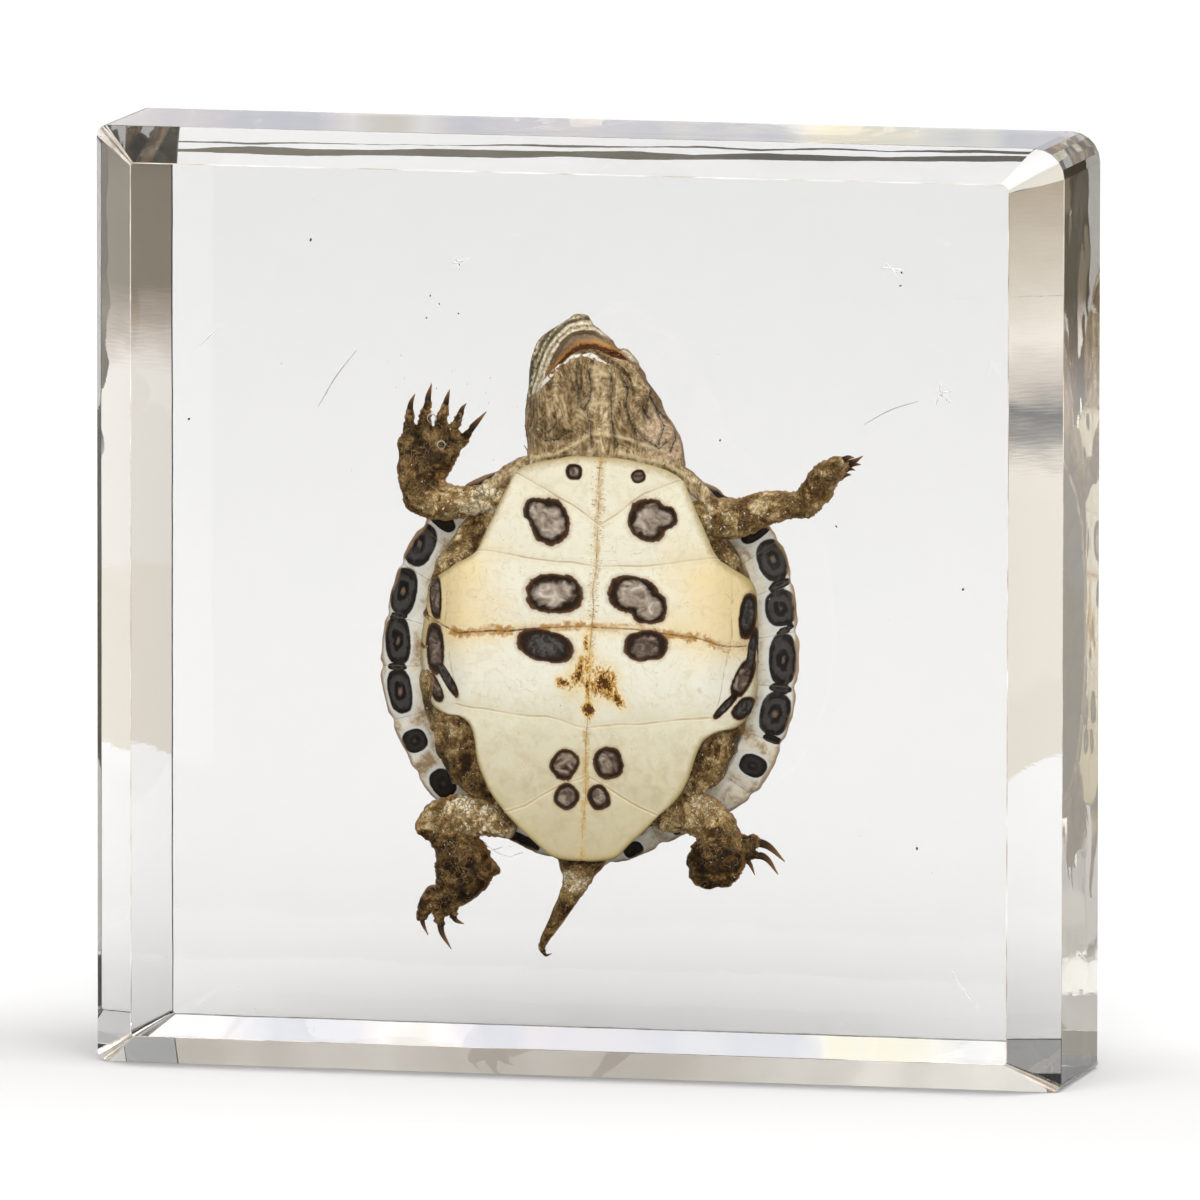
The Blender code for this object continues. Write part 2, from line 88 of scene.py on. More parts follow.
RIM_SPOTS = (
    (-11.6, 42.0, 1.5, 0.65, -38, 0.9), (-13.1, 39.9, 1.2, 1.7, -22, 0.3), (-14.3, 36.3, 1.1, 1.85, -8, 0.3),
    (-14.7, 32.6, 1.05, 1.9, 4, 0.3), (-14.5, 28.7, 1.0, 1.75, 8, 0.4), (-13.4, 24.9, 1.05, 0.9, 20, 0.8),
    (-11.2, 21.7, 1.0, 1.15, 35, 0.9), (13.1, 41.7, 1.4, 0.65, 38, 0.8), (14.4, 39.5, 1.15, 1.6, 22, 0.3),
    (15.1, 35.9, 1.2, 1.4, 8, 0.25), (15.3, 32.0, 1.05, 2.0, 0, 0.4), (14.7, 27.8, 1.15, 1.7, -12, 0.3),
    (13.0, 23.8, 1.05, 0.85, -25, 0.8), (10.0, 44.1, 1.5, 0.7, -32, 1.0), (-8.5, 44.9, 1.7, 0.6, 22, 1.0),
    (-5.2, 45.9, 1.2, 0.5, 12, 1.0), (9.8, 20.3, 0.8, 0.9, 30, 1.0), (7.4, 18.9, 0.9, 0.6, 25, 1.0),
    (3.6, 17.0, 0.8, 0.6, 30, 1.0), (-5.0, 17.4, 1.4, 0.5, -24, 1.0), (-8.0, 18.9, 0.8, 0.5, -30, 1.0),
    (15.0, 37.65, 0.95, 0.3, 24, 0.55), (15.5, 34.25, 0.75, 0.2, 25, 0.4), (15.15, 29.75, 0.9, 0.3, -6, 0.7),
    (14.5, 25.8, 0.8, 0.28, -20, 0.9), (-14.7, 34.45, 0.8, 0.22, 5, 0.6), (-14.75, 30.55, 0.8, 0.2, 0, 0.6),
)

# Seams between the plates of the belly, from the top down, then the middle line, the bridges and the navel
CROSS_SEAMS = (
    ((-5.6, 46.4), (-2.4, 44.9), (1.8, 42.3), (5.2, 44.6), (9.0, 46.3)),
    ((-9.5, 40.3), (-3.3, 39.6), (1.5, 39.0), (6.0, 39.3), (12.0, 40.2)),
    ((-12.8, 35.0), (-11.1, 34.3), (-9.2, 33.6), (-5.1, 34.0), (-2.0, 34.3), (1.1, 34.5), (4.5, 34.4),
     (8.6, 33.9), (11.8, 33.1), (14.0, 33.2)),
    ((-9.5, 28.3), (-5.0, 27.6), (-2.3, 27.5), (0.9, 26.7), (4.5, 27.2), (11.0, 27.8)),
    ((-7.0, 19.8), (-4.0, 20.7), (-1.4, 22.2), (0.8, 23.1), (3.3, 21.6), (7.4, 19.6)),
)
STAINED_SEAM = CROSS_SEAMS[2]
MIDLINE = ((1.8, 47.9), (1.5, 39.2), (1.1, 34.5), (0.8, 25.4), (0.4, 16.0))
BRIDGE_SEAMS = (((-10.2, 38.9), (-10.5, 34.4), (-9.6, 29.4)), ((11.9, 39.3), (12.0, 34.0), (10.8, 28.2)))
NAVEL_STAINS = (
    (2.1, 30.2, 1.15, 1.35, 10, 1.0), (3.2, 29.0, 0.5, 0.9, 30, 0.6), (0.3, 31.0, 0.75, 1.6, -24, 0.4),
    (0.7, 33.2, 0.3, 0.9, 0, 0.3), (-1.0, 30.1, 0.5, 0.5, 0, 0.8), (0.9, 28.1, 0.45, 0.6, 0, 1.0),
    (0.9, 29.8, 0.35, 1.2, 0, 0.5),
)

# Angles of the seams between the plates of the rim, in degrees from +X towards +Z
RIM_SEAMS = (34.5, 24, 11, -4.2, -20.6, -37, -52, -68, -84, -101, -118, -133, -147.7, -163.4, -178.6,
             167.3, 153.3, 142, 128, 114, 100, 80, 66, 52)

# Seams on the back: across the middle row, down its two sides, and out to the rim
VERTEBRAL_ROWS = ((44.6, 3.3), (42.5, 4.4), (40.0, 3.6), (37.0, 4.9), (34.0, 3.7), (31.0, 5.0), (28.0, 3.6),
                  (25.0, 4.7), (22.0, 3.2), (20.0, 4.2), (18.4, 3.6))
BACK_SPOKES = ((42.5, 52), (37.0, 24), (31.0, -4.2), (25.0, -37), (20.0, -68))

# Rows of the soft parts: x, z, depth y, half width, half depth, and how pale the skin is there
SKULL = (
    (1.5, 43.9, -1.9, 5.3, 2.1, 0.5), (1.75, 46.3, -1.8, 6.2, 2.6, 0.5), (1.15, 48.5, -1.7, 5.75, 2.9, 0.5),
    (0.4, 50.9, -1.5, 5.2, 3.0, 0.5), (-0.25, 53.1, -0.5, 4.45, 2.45, 0.5),
    (-0.65, 54.8, -0.3, 3.7, 2.1, 0.5), (-0.6, 55.95, -0.4, 2.7, 1.7, 0.5),
    (-0.5, 56.85, -0.5, 1.6, 1.0, 0.5), (-0.42, 57.35, -0.5, 0.9, 0.7, 0.5),
)
LOWER_JAW = (
    (0.85, 48.6, -3.0, 4.6, 1.6, 0.5), (0.75, 50.4, -3.5, 4.35, 1.5, 0.5), (0.6, 52.0, -3.9, 3.9, 1.15, 0.5),
    (0.45, 53.6, -4.3, 2.9, 0.8, 0.5), (0.35, 54.7, -4.6, 1.3, 0.5, 0.5),
)
COLLAR = (
    ((-2.6, 46.9, -2.7, 1.0, 0.9, 0.5), (-5.0, 46.0, -2.7, 0.75, 0.7, 0.5),
     (-7.3, 44.6, -2.7, 0.55, 0.6, 0.5)),
    ((6.6, 46.6, -2.4, 1.0, 0.9, 0.5), (8.6, 45.2, -2.5, 0.75, 0.7, 0.5),
     (10.3, 43.6, -2.6, 0.55, 0.6, 0.5)),
)
PALATE = ((0.5, 51.0, -2.6, 3.3, 1.2, 0), (0.35, 53.3, -3.1, 3.3, 1.6, 0), (0.15, 55.2, -3.0, 2.35, 1.5, 0),
          (0.1, 56.0, -2.8, 1.4, 1.2, 0))
TAIL = (
    (0.0, 17.6, -2.3, 2.2, 1.3, 0.1), (-0.1, 16.6, -2.2, 2.0, 1.2, -0.1),
    (-0.3, 15.6, -2.1, 1.5, 1.1, 1.05), (-0.45, 14.8, -2.0, 1.1, 1.0, 0.9),
    (-1.2, 13.3, -1.9, 0.78, 0.8, 0.25), (-2.1, 11.75, -1.8, 0.58, 0.6, 0.25),
    (-2.9, 10.4, -1.7, 0.38, 0.4, 0.3), (-3.25, 9.6, -1.6, 0.28, 0.27, 0.3),
    (-3.1, 9.15, -1.6, 0.24, 0.22, 0.05),
)
ARM_LEFT = (
    ((-5.6, 43.6, -2.8, 1.1, 0.9, 0.75), (-7.6, 43.8, -2.7, 1.1, 1.0, 0.85),
     (-9.4, 43.4, -2.5, 1.25, 1.2, 0.8), (-11.2, 43.5, -2.4, 1.55, 1.3, 0.62),
     (-12.8, 44.0, -2.2, 1.5, 1.2, 0.4)),
    ((-12.9, 43.4, -2.2, 1.1, 1.0, 0.4), (-12.7, 44.9, -2.0, 1.75, 1.3, 0.25),
     (-12.3, 46.6, -1.9, 2.3, 1.15, 0.14), (-12.05, 47.7, -1.8, 2.4, 0.9, 0.14),
     (-11.95, 48.2, -1.8, 2.1, 0.7, 0.15)),
    ((-13.5, 47.8, -1.9, 0.62, 0.6, 0.15), (-13.6, 49.2, -1.8, 0.44, 0.5, 0.2),
     (-13.55, 50.2, -1.8, 0.36, 0.4, 0.35)),
    ((-12.45, 48.2, -1.9, 0.62, 0.6, 0.15), (-12.35, 49.9, -1.9, 0.46, 0.5, 0.2),
     (-12.15, 50.9, -1.8, 0.34, 0.4, 0.35)),
    ((-11.35, 48.1, -1.9, 0.6, 0.6, 0.15), (-11.0, 49.7, -1.9, 0.44, 0.5, 0.25),
     (-10.8, 50.7, -1.8, 0.34, 0.4, 0.35)),
    ((-10.6, 47.7, -1.9, 0.58, 0.6, 0.15), (-9.95, 49.2, -1.9, 0.42, 0.45, 0.25),
     (-9.55, 50.1, -1.8, 0.34, 0.36, 0.35)),
    ((-10.5, 46.7, -1.9, 0.75, 0.7, 0.15), (-9.5, 48.0, -1.9, 0.5, 0.5, 0.2),
     (-8.9, 48.8, -1.8, 0.36, 0.36, 0.3)),
)
ARM_RIGHT = (
    ((8.4, 42.8, -2.8, 1.3, 0.9, 0.75), (10.4, 42.7, -2.7, 1.65, 1.2, 0.65),
     (12.4, 42.9, -2.5, 1.5, 1.3, 0.5), (14.2, 43.6, -2.4, 1.35, 1.2, 0.6),
     (16.0, 43.9, -2.3, 1.05, 1.1, 0.5), (17.4, 43.9, -2.2, 1.0, 1.0, 0.55)),
    ((17.0, 43.6, -2.2, 0.9, 0.9, 0.55), (17.9, 44.8, -2.1, 1.25, 1.2, 0.42),
     (18.7, 46.1, -2.0, 1.2, 1.5, 0.42), (19.7, 46.9, -2.0, 0.85, 1.45, 0.55)),
    ((19.3, 47.1, -3.1, 0.5, 0.45, 0.5), (20.2, 47.5, -3.2, 0.38, 0.36, 0.55)),
    ((19.4, 46.9, -2.6, 0.5, 0.45, 0.5), (20.5, 47.2, -2.7, 0.4, 0.38, 0.55)),
    ((19.4, 46.7, -2.0, 0.5, 0.45, 0.5), (20.3, 46.9, -2.0, 0.38, 0.36, 0.55)),
    ((19.2, 46.4, -1.4, 0.5, 0.45, 0.5), (20.1, 46.5, -1.3, 0.36, 0.36, 0.55)),
    ((19.0, 46.1, -0.9, 0.5, 0.45, 0.5), (19.8, 46.0, -0.8, 0.36, 0.36, 0.55)),
)
LEG_LEFT = (
    ((-5.8, 19.0, -2.9, 1.2, 0.9, 0.7), (-7.6, 19.4, -2.7, 1.5, 1.1, 0.75),
     (-9.4, 19.5, -2.5, 1.7, 1.2, 0.8), (-11.1, 19.2, -2.4, 1.5, 1.2, 0.65),
     (-12.1, 18.4, -2.3, 1.0, 0.9, 0.35)),
    ((-10.9, 19.2, -2.5, 1.4, 1.1, 0.35), (-10.2, 17.6, -2.3, 1.6, 1.4, 0.2),
     (-9.3, 15.9, -2.1, 2.35, 1.45, 0.12), (-9.7, 14.4, -2.0, 2.05, 1.3, 0.12),
     (-10.6, 13.3, -1.9, 1.2, 1.0, 0.12), (-11.3, 12.7, -1.8, 0.7, 0.7, 0.15)),
    ((-8.6, 16.2, -2.0, 1.5, 1.0, 0.12), (-7.6, 15.7, -2.0, 0.9, 0.7, 0.12),
     (-6.7, 15.4, -2.0, 0.35, 0.4, 0.25)),
    ((-11.6, 13.4, -1.9, 0.8, 0.7, 0.12), (-12.4, 12.2, -1.8, 0.55, 0.5, 0.15),
     (-12.6, 11.5, -1.8, 0.35, 0.35, 0.2)),
    ((-11.0, 13.2, -1.9, 0.75, 0.65, 0.12), (-11.2, 11.8, -1.8, 0.5, 0.5, 0.15),
     (-11.1, 11.1, -1.8, 0.38, 0.35, 0.2)),
    ((-10.4, 13.2, -1.9, 0.7, 0.6, 0.12), (-10.2, 12.2, -1.8, 0.5, 0.45, 0.15),
     (-10.1, 11.7, -1.8, 0.32, 0.3, 0.2)),
)
LEG_RIGHT = (
    ((6.2, 19.9, -2.9, 1.2, 0.9, 0.6), (7.9, 20.3, -2.7, 1.6, 1.1, 0.65),
     (9.4, 20.0, -2.5, 1.75, 1.2, 0.65), (10.6, 19.0, -2.4, 1.55, 1.2, 0.5)),
    ((10.5, 19.6, -2.4, 1.5, 1.1, 0.5), (10.7, 18.2, -2.3, 1.85, 1.4, 0.3),
     (10.4, 16.7, -2.1, 2.3, 1.5, 0.12), (9.7, 15.8, -2.0, 1.95, 1.2, 0.1),
     (9.3, 15.2, -1.9, 1.3, 0.8, 0.15)),
    ((10.9, 17.6, -2.1, 1.0, 0.8, 0.15), (12.3, 18.0, -2.0, 0.75, 0.65, 0.1),
     (13.4, 18.2, -1.9, 0.55, 0.5, 0.1)),
    ((11.2, 17.0, -2.0, 0.9, 0.7, 0.15), (12.4, 17.2, -1.9, 0.6, 0.5, 0.1),
     (13.3, 17.2, -1.9, 0.4, 0.4, 0.1)),
    ((11.0, 16.4, -2.0, 0.7, 0.6, 0.15), (12.1, 16.8, -1.9, 0.5, 0.45, 0.1),
     (12.5, 16.8, -1.9, 0.35, 0.35, 0.1)),
)

# A claw: its root, bend and tip as x, z and depth, and the radius at its root
TAIL_CLAWS = (((-3.15, 9.2, -1.6), (-2.9, 8.95, -1.6), (-2.45, 9.1, -1.6), 0.16),)
LEFT_FINGER_CLAWS = (
    ((-13.55, 50.0, -1.8), (-13.45, 50.8, -1.8), (-13.15, 51.5, -1.7), 0.27),
    ((-12.2, 50.7, -1.8), (-12.05, 51.5, -1.8), (-11.85, 52.3, -1.7), 0.28),
    ((-10.8, 50.5, -1.8), (-10.65, 51.2, -1.8), (-10.45, 51.9, -1.7), 0.27),
    ((-9.6, 50.0, -1.8), (-9.45, 50.5, -1.8), (-9.15, 50.9, -1.7), 0.24),
    ((-9.1, 48.6, -1.8), (-8.4, 49.4, -1.8), (-7.6, 50.3, -1.7), 0.3),
)
RIGHT_FINGER_CLAWS = (
    ((20.1, 47.4, -3.2), (20.7, 47.7, -3.2), (21.15, 47.7, -3.2), 0.25),
    ((20.4, 47.2, -2.7), (21.1, 47.4, -2.7), (21.75, 47.8, -2.7), 0.26),
    ((20.2, 46.9, -2.0), (20.9, 47.1, -2.0), (21.5, 47.1, -2.0), 0.25),
    ((20.0, 46.5, -1.3), (20.5, 46.7, -1.3), (20.95, 46.6, -1.3), 0.23),
    ((19.7, 46.0, -0.8), (20.2, 46.2, -0.8), (20.6, 46.2, -0.8), 0.22),
)
LEFT_TOE_CLAWS = (
    ((-12.55, 11.8, -1.8), (-12.5, 11.1, -1.8), (-12.1, 10.2, -1.7), 0.24),
    ((-11.15, 11.4, -1.8), (-11.0, 10.4, -1.8), (-10.3, 9.2, -1.7), 0.3),
    ((-10.2, 11.9, -1.8), (-9.9, 11.4, -1.8), (-9.3, 11.15, -1.7), 0.26),
)
RIGHT_TOE_CLAWS = (
    ((13.2, 18.2, -1.9), (14.4, 17.8, -1.8), (15.6, 16.7, -1.7), 0.38),
    ((13.1, 17.2, -1.9), (14.2, 16.9, -1.8), (15.1, 15.7, -1.7), 0.34),
    ((12.3, 16.9, -1.9), (12.9, 16.5, -1.8), (13.3, 15.6, -1.7), 0.26),
)

# The tail and limbs: piece, node, rows of each length, claws, and the heights of the skin's folds and lumps
LIMBS = (
    ("tail_piece", "tail", (TAIL,), TAIL_CLAWS, 0.08, 0.05),
    ("arm_left", "front_leg_left", ARM_LEFT, LEFT_FINGER_CLAWS, 0.14, 0.12),
    ("arm_right", "front_leg_right", ARM_RIGHT, RIGHT_FINGER_CLAWS, 0.14, 0.1),
    ("leg_left", "hind_leg_left", LEG_LEFT, LEFT_TOE_CLAWS, 0.16, 0.14),
    ("leg_right", "hind_leg_right", LEG_RIGHT, RIGHT_TOE_CLAWS, 0.16, 0.14),
)

# The head, in the front view: edge of the roof of the mouth, edge of the lower jaw, and lines in the skin
MOUTH_EDGE = ((-3.3, 51.9), (-2.8, 53.6), (-2.4, 54.6), (-1.7, 55.8), (-1.0, 56.5), (-0.1, 56.7), (0.8, 56.6),
              (1.9, 55.9), (2.7, 55.2), (3.4, 54.6), (4.3, 53.8))
JAW_EDGE = ((-3.5, 52.0), (-2.9, 52.8), (-2.0, 53.7), (-1.5, 54.3), (-0.9, 54.8), (-0.3, 55.15), (0.8, 55.2),
            (1.9, 54.8), (2.6, 54.6), (3.9, 54.3), (4.7, 53.9))
THROAT_LINES = (
    ((-0.15, 53.7), (0.05, 52.5), (0.0, 51.3), (0.5, 50.9)),
    ((0.9, 53.6), (1.05, 52.5), (0.95, 51.8), (0.55, 51.1), (0.8, 50.4), (0.95, 49.6), (1.05, 48.0)),
    ((2.5, 53.7), (2.7, 52.6), (2.5, 51.8), (2.6, 50.8), (2.7, 49.4), (2.85, 48.2)),
    ((3.45, 53.5), (3.9, 52.5), (3.7, 51.4), (4.05, 50.1), (4.6, 48.4)),
    ((5.1, 53.8), (5.4, 52.8), (5.3, 52.0), (6.1, 50.8), (7.1, 49.6), (7.3, 48.7), (7.0, 47.8)),
    ((5.3, 52.0), (5.1, 50.9), (5.25, 50.3)), ((4.2, 49.6), (5.1, 48.7), (6.1, 48.0), (6.95, 48.7)),
    ((5.9, 50.9), (6.4, 49.7), (6.1, 48.3)), ((-2.8, 48.4), (-1.6, 48.5), (-0.75, 49.1)),
    ((-2.4, 49.0), (-1.7, 49.7), (-1.9, 50.4)),
)
CROSS_FOLDS = (((0.95, 51.3), (1.65, 51.45), (2.5, 51.35)), ((0.9, 53.45), (1.65, 53.7), (2.45, 53.6)),
               ((0.3, 48.6), (1.0, 49.05), (2.0, 49.1), (3.0, 48.95), (4.4, 48.5), (6.2, 47.9)),
               ((-3.7, 47.0), (-1.6, 47.5), (-0.2, 48.2), (0.5, 48.8)),
               ((3.2, 47.6), (6.3, 46.9), (8.0, 46.1)))

# Flaws in the casting, in the front view: bubbles and cracks as x, z and size, specks likewise, and
# hairs as two ends, radius, kind (0 dark, 0.5 amber, 0.75 grey, 1 white) and depth
BUBBLES = ((-11.5, 49.85, 0.34), (-10.75, 47.85, 0.3))
CRACKS = ((-9.5, 61.8, 0.9), (24.15, 62.2, 1.0), (27.85, 52.9, 1.5))
SPECKS = (
    (-30.4, 49.3, 0.13), (26.2, 18.2, 0.15), (10.9, 48.8, 0.12), (19.9, 42.5, 0.12), (29.7, 38.0, 0.14),
    (-20.9, 63.2, 0.15), (24.9, 61.9, 0.13), (24.8, 60.9, 0.11), (-11.6, 59.2, 0.1), (-10.9, 58.6, 0.09),
    (-9.4, 57.9, 0.09), (-11.9, 57.5, 0.1),
)
HAIRS = (
    ((-19.7, 50.8), (-16.7, 55.2), 0.04, 0.7, -8.0), ((-28.9, 55.2), (-27.1, 57.0), 0.035, 0.95, -8.0),
    ((22.6, 50.6), (26.8, 52.5), 0.035, 0.6, -8.0), ((29.5, 9.3), (31.5, 6.6), 0.06, 1.0, -8.0),
    ((-4.45, 48.7), (-3.8, 47.9), 0.04, 0.45, -2.6), ((-4.3, 48.1), (-3.7, 47.4), 0.04, 0.45, -2.6),
    ((-4.1, 48.9), (-3.7, 47.9), 0.035, 0.45, -2.6), ((-4.5, 49.35), (-4.15, 49.7), 0.05, 0.35, -2.6),
    ((-4.5, 47.9), (-3.9, 47.1), 0.06, 0.4, -2.6), ((-3.9, 48.7), (-3.5, 47.6), 0.035, 0.45, -2.6),
    ((-4.25, 47.4), (-3.7, 46.9), 0.08, 0.45, -2.6), ((-7.4, 17.5), (-5.4, 16.5), 0.05, 0.95, -3.5),
    ((-5.4, 16.5), (-4.4, 16.9), 0.05, 0.95, -3.5), ((-6.9, 17.0), (-6.0, 17.3), 0.04, 0.75, -3.5),
)


# Small tools: smooth steps, grain and cells in space, distances in the front view

def ease(value, low, high):
    t = np.clip((value - low) / (high - low), 0, 1)
    return t * t * (3 - 2 * t)


LATTICE = np.random.default_rng(7).random((32, 32, 32)) * 2 - 1
JITTER = np.random.default_rng(11).random((16, 16, 16, 3))


def grain(points, per_mm, seed):
    q = points * per_mm + np.array((13.7, 5.1, 9.3)) * (seed + 1)
    cell = np.floor(q).astype(int)
    t = q - cell
    t = t * t * (3 - 2 * t)
    total = np.zeros(len(q))
    for corner in itertools.product((0, 1), repeat=3):
        weight = np.prod(np.where(corner, t, 1 - t), axis=1)
        i, j, k = ((cell + corner) % 32).T
        total += weight * LATTICE[i, j, k]
    return total


def ridges(points, per_mm, seed):
    """1 on the crests of a wrinkled field, falling to 0 between them."""
    warped = points + 0.35 / per_mm * np.stack([grain(points, per_mm * 0.7, seed + k) for k in range(3)], 1)
    return 1 - np.clip(np.abs(grain(warped, per_mm, seed + 5)) * 2.6, 0, 1)


def cells(points, per_mm):
    """0 on the borders of small scales, rising to 1 on their middles."""
    q = points * per_mm
    base = np.floor(q).astype(int)
    near = np.full(len(q), 9.0)
    second = near.copy()
    for step in itertools.product((-1, 0, 1), repeat=3):
        cell = base + step
        i, j, k = (cell % 16).T
        reach = np.linalg.norm(q - cell - JITTER[i, j, k], axis=1)
        second = np.minimum(second, np.maximum(near, reach))
        near = np.minimum(near, reach)
    return np.clip((second - near) * 2.2, 0, 1)


def path_distance(flat, path):
    """Distance in the front view from points (x, z) to a path."""
    best = np.full(len(flat), 99.0)
    corners = np.array(path, float)
    for a, b in zip(corners, corners[1:]):
        along = b - a
        t = np.clip(((flat - a) @ along) / (along @ along), 0, 1)
        best = np.minimum(best, np.linalg.norm(flat - a - t[:, None] * along, axis=1))
    return best


def nearest_path(flat, paths):
    return np.min([path_distance(flat, path) for path in paths], axis=0)


def signed_seams(flat, seams):
    """Distance to the nearest of some crosswise seams, with signs that agree halfway between neighbours."""
    reach = np.array([path_distance(flat, seam) for seam in seams])
    sides = np.array([np.where(flat[:, 1] > np.interp(flat[:, 0], *zip(*seam)), 1, -1) * (-1) ** k
                      for k, seam in enumerate(seams)])
    nearest = reach.argmin(axis=0)
    return np.take_along_axis(reach * sides, nearest[None], 0)[0]


def spot_field(flat, spots):
    """How far out each point is in its nearest spot, with 1 at the spot's edge, and that spot's darkness."""
    best = np.full(len(flat), 9.0)
    dark = np.zeros(len(flat))
    for x, z, wide, high, turn, darkness in spots:
        c, s = math.cos(math.radians(turn)), math.sin(math.radians(turn))
        u = ((flat[:, 0] - x) * c + (flat[:, 1] - z) * s) / wide
        v = ((flat[:, 1] - z) * c - (flat[:, 0] - x) * s) / high
        reach = (np.abs(u) ** 2.5 + np.abs(v) ** 2.5) ** (1 / 2.5)
        dark = np.where(reach < best, darkness, dark)
        best = np.minimum(best, reach)
    return best, dark


def spline(rows, steps=5, closed=False):
    """A smooth line through rows of numbers."""
    rows = np.array(rows, float)
    if closed:
        around = np.vstack((rows[-1:], rows, rows[:2]))
    else:
        around = np.vstack((2 * rows[0] - rows[1], rows, 2 * rows[-1] - rows[-2]))
    made = []
    for a, b, c, d in zip(around, around[1:], around[2:], around[3:]):
        for t in np.arange(steps) / steps:
            point = 2 * b + (c - a) * t + (2 * a - 5 * b + 4 * c - d) * t ** 2
            made.append(0.5 * (point + (3 * b - a - 3 * c + d) * t ** 3))
    return np.array(made if closed else made + [rows[-1]])


def outline_reach(points, centre, angles):
    curve = spline(points, 8, closed=True) - centre
    around = np.arctan2(curve[:, 1], curve[:, 0])
    return np.interp(angles, around, np.hypot(curve[:, 0], curve[:, 1]), period=2 * math.pi)


# Meshes

def mesh_object(name, verts, faces):
    mesh = bpy.data.meshes.new(name)
    mesh.from_pydata([tuple(v) for v in verts], [], [tuple(f) for f in faces])
    made = bpy.data.objects.new(name, mesh)
    bpy.context.scene.collection.objects.link(made)
    return made


def edit_mesh(made, change):
    bm = bmesh.new()
    bm.from_mesh(made.data)
    change(bm)
    bm.to_mesh(made.data)
    bm.free()


def rings_object(name, rings, poles=True):
    """A closed skin over equal rings. With poles the first and last are single points."""
    rings = [np.atleast_2d(r) for r in rings]
    starts = np.cumsum([0] + [len(r) for r in rings])
    faces = []
    for k, (a, b) in enumerate(zip(rings, rings[1:])):
        p, q, n = starts[k], starts[k + 1], max(len(a), len(b))
        for i in range(n):
            j = (i + 1) % n
            if len(a) == 1:
                faces.append((p, q + i, q + j))
            elif len(b) == 1:
                faces.append((p + i, q, p + j))
            else:
                faces.append((p + i, q + i, q + j, p + j))
    if not poles:
        faces += [tuple(range(len(rings[0]))), tuple(range(starts[-2], starts[-1]))]
    made = mesh_object(name, np.vstack(rings), faces)
    edit_mesh(made, lambda bm: bmesh.ops.recalc_face_normals(bm, faces=bm.faces))
    return made


def tube(name, rows, sides=16):
    """A round-ended body along rows of x, z, depth, half width and half depth."""
    rows = spline(rows)
    centres = rows[:, (0, 2, 1)]
    along = np.gradient(centres, axis=0)
    along /= np.linalg.norm(along, axis=1)[:, None]
    turns = 2 * math.pi * np.arange(sides) / sides

    def ring(i, push, share):
        through = np.array((0, 1, 0)) - along[i] * along[i][1]
        through /= np.linalg.norm(through)
        across = np.cross(along[i], through)
        wide = np.outer(np.cos(turns) * rows[i][3], across)
        deep = np.outer(np.sin(turns) * rows[i][4], through)
        return centres[i] + along[i] * push + share * (wide + deep)

    def cap(end, sign):
        reach = min(rows[end][3:5]) * 0.8
        made = [ring(end, sign * reach * k, math.sqrt(1 - k * k)) for k in (0.35, 0.65, 0.85, 0.97)]
        return made + [centres[end] + along[end] * sign * reach]

    last = len(rows) - 1
    return rings_object(name, cap(0, -1)[::-1] + [ring(i, 0, 1) for i in range(last + 1)] + cap(last, 1))


def merge(name, items):
    def gather(bm):
        for item in items:
            bm.from_mesh(item.data)
            bpy.data.objects.remove(item, do_unlink=True)

    made = mesh_object(name, (), ())
    edit_mesh(made, gather)
    return made


def apply(made):
    graph = bpy.context.evaluated_depsgraph_get()
    mesh = bpy.data.meshes.new_from_object(made.evaluated_get(graph))
    made.modifiers.clear()
    made.data = mesh


def boolean(target, tool, operation):
    step = target.modifiers.new("step", "BOOLEAN")
    step.operation, step.solver, step.object = operation, "EXACT", tool
    step.use_self = True
    apply(target)
    bpy.data.objects.remove(tool, do_unlink=True)


def remesh(made, voxel, rounds=4):
    step = made.modifiers.new("remesh", "REMESH")
    step.mode, step.voxel_size, step.use_smooth_shade = "VOXEL", voxel, True
    soft = made.modifiers.new("soft", "SMOOTH")
    soft.factor, soft.iterations = 0.5, rounds
    apply(made)


def read_vectors(items, name):
    values = np.empty(len(items) * 3, np.float32)
    items.foreach_get(name, values)
    return values.reshape(-1, 3).astype(float)


def points_and_normals(made):
    return read_vectors(made.data.vertices, "co"), read_vectors(made.data.vertex_normals, "vector")


def move_points(made, co):
    made.data.vertices.foreach_set("co", co.astype(np.float32).ravel())
    made.data.update()


def store(made, **fields):
    for name, values in fields.items():
        layer = made.data.attributes.new(name, "FLOAT", "POINT")
        layer.data.foreach_set("value", np.asarray(values, np.float32))


def settle(made, material, nodes=(), flat_angle=None):
    """Metres, shading and material, then the piece's place in the shared frame."""
    made.data.transform(Matrix.Scale(MM, 4))
    made.data.shade_smooth()
    if flat_angle:
        made.data.set_sharp_from_angle(angle=math.radians(flat_angle))
    made.data.materials.clear()
    made.data.materials.append(material)
    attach(made, "root")
    if nodes:
        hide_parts(*nodes)


# Shader tools

def fill(tree, made, values):
    """A node's sockets, each linked to another node's output or set to a number or colour."""
    for key, value in values.items():
        if isinstance(value, bpy.types.NodeSocket):
            tree.links.new(value, made.inputs[key])
        else:
            made.inputs[key].default_value = value


def node(tree, kind, values=None, **settings):
    made = tree.nodes.new("ShaderNode" + kind)
    for key, value in settings.items():
        setattr(made, key, value)
    fill(tree, made, values or {})
    return made


def span(tree, value, low, high, out_low=0.0, out_high=1.0, kind="LINEAR"):
    values = {"Value": value, "From Min": low, "From Max": high, "To Min": out_low, "To Max": out_high}
    return node(tree, "MapRange", values, interpolation_type=kind).outputs["Result"]


def noise(tree, place, scale, detail, distortion=0.0):
    values = {"Vector": place, "Scale": scale, "Detail": detail, "Distortion": distortion}
    return node(tree, "TexNoise", values).outputs["Fac"]


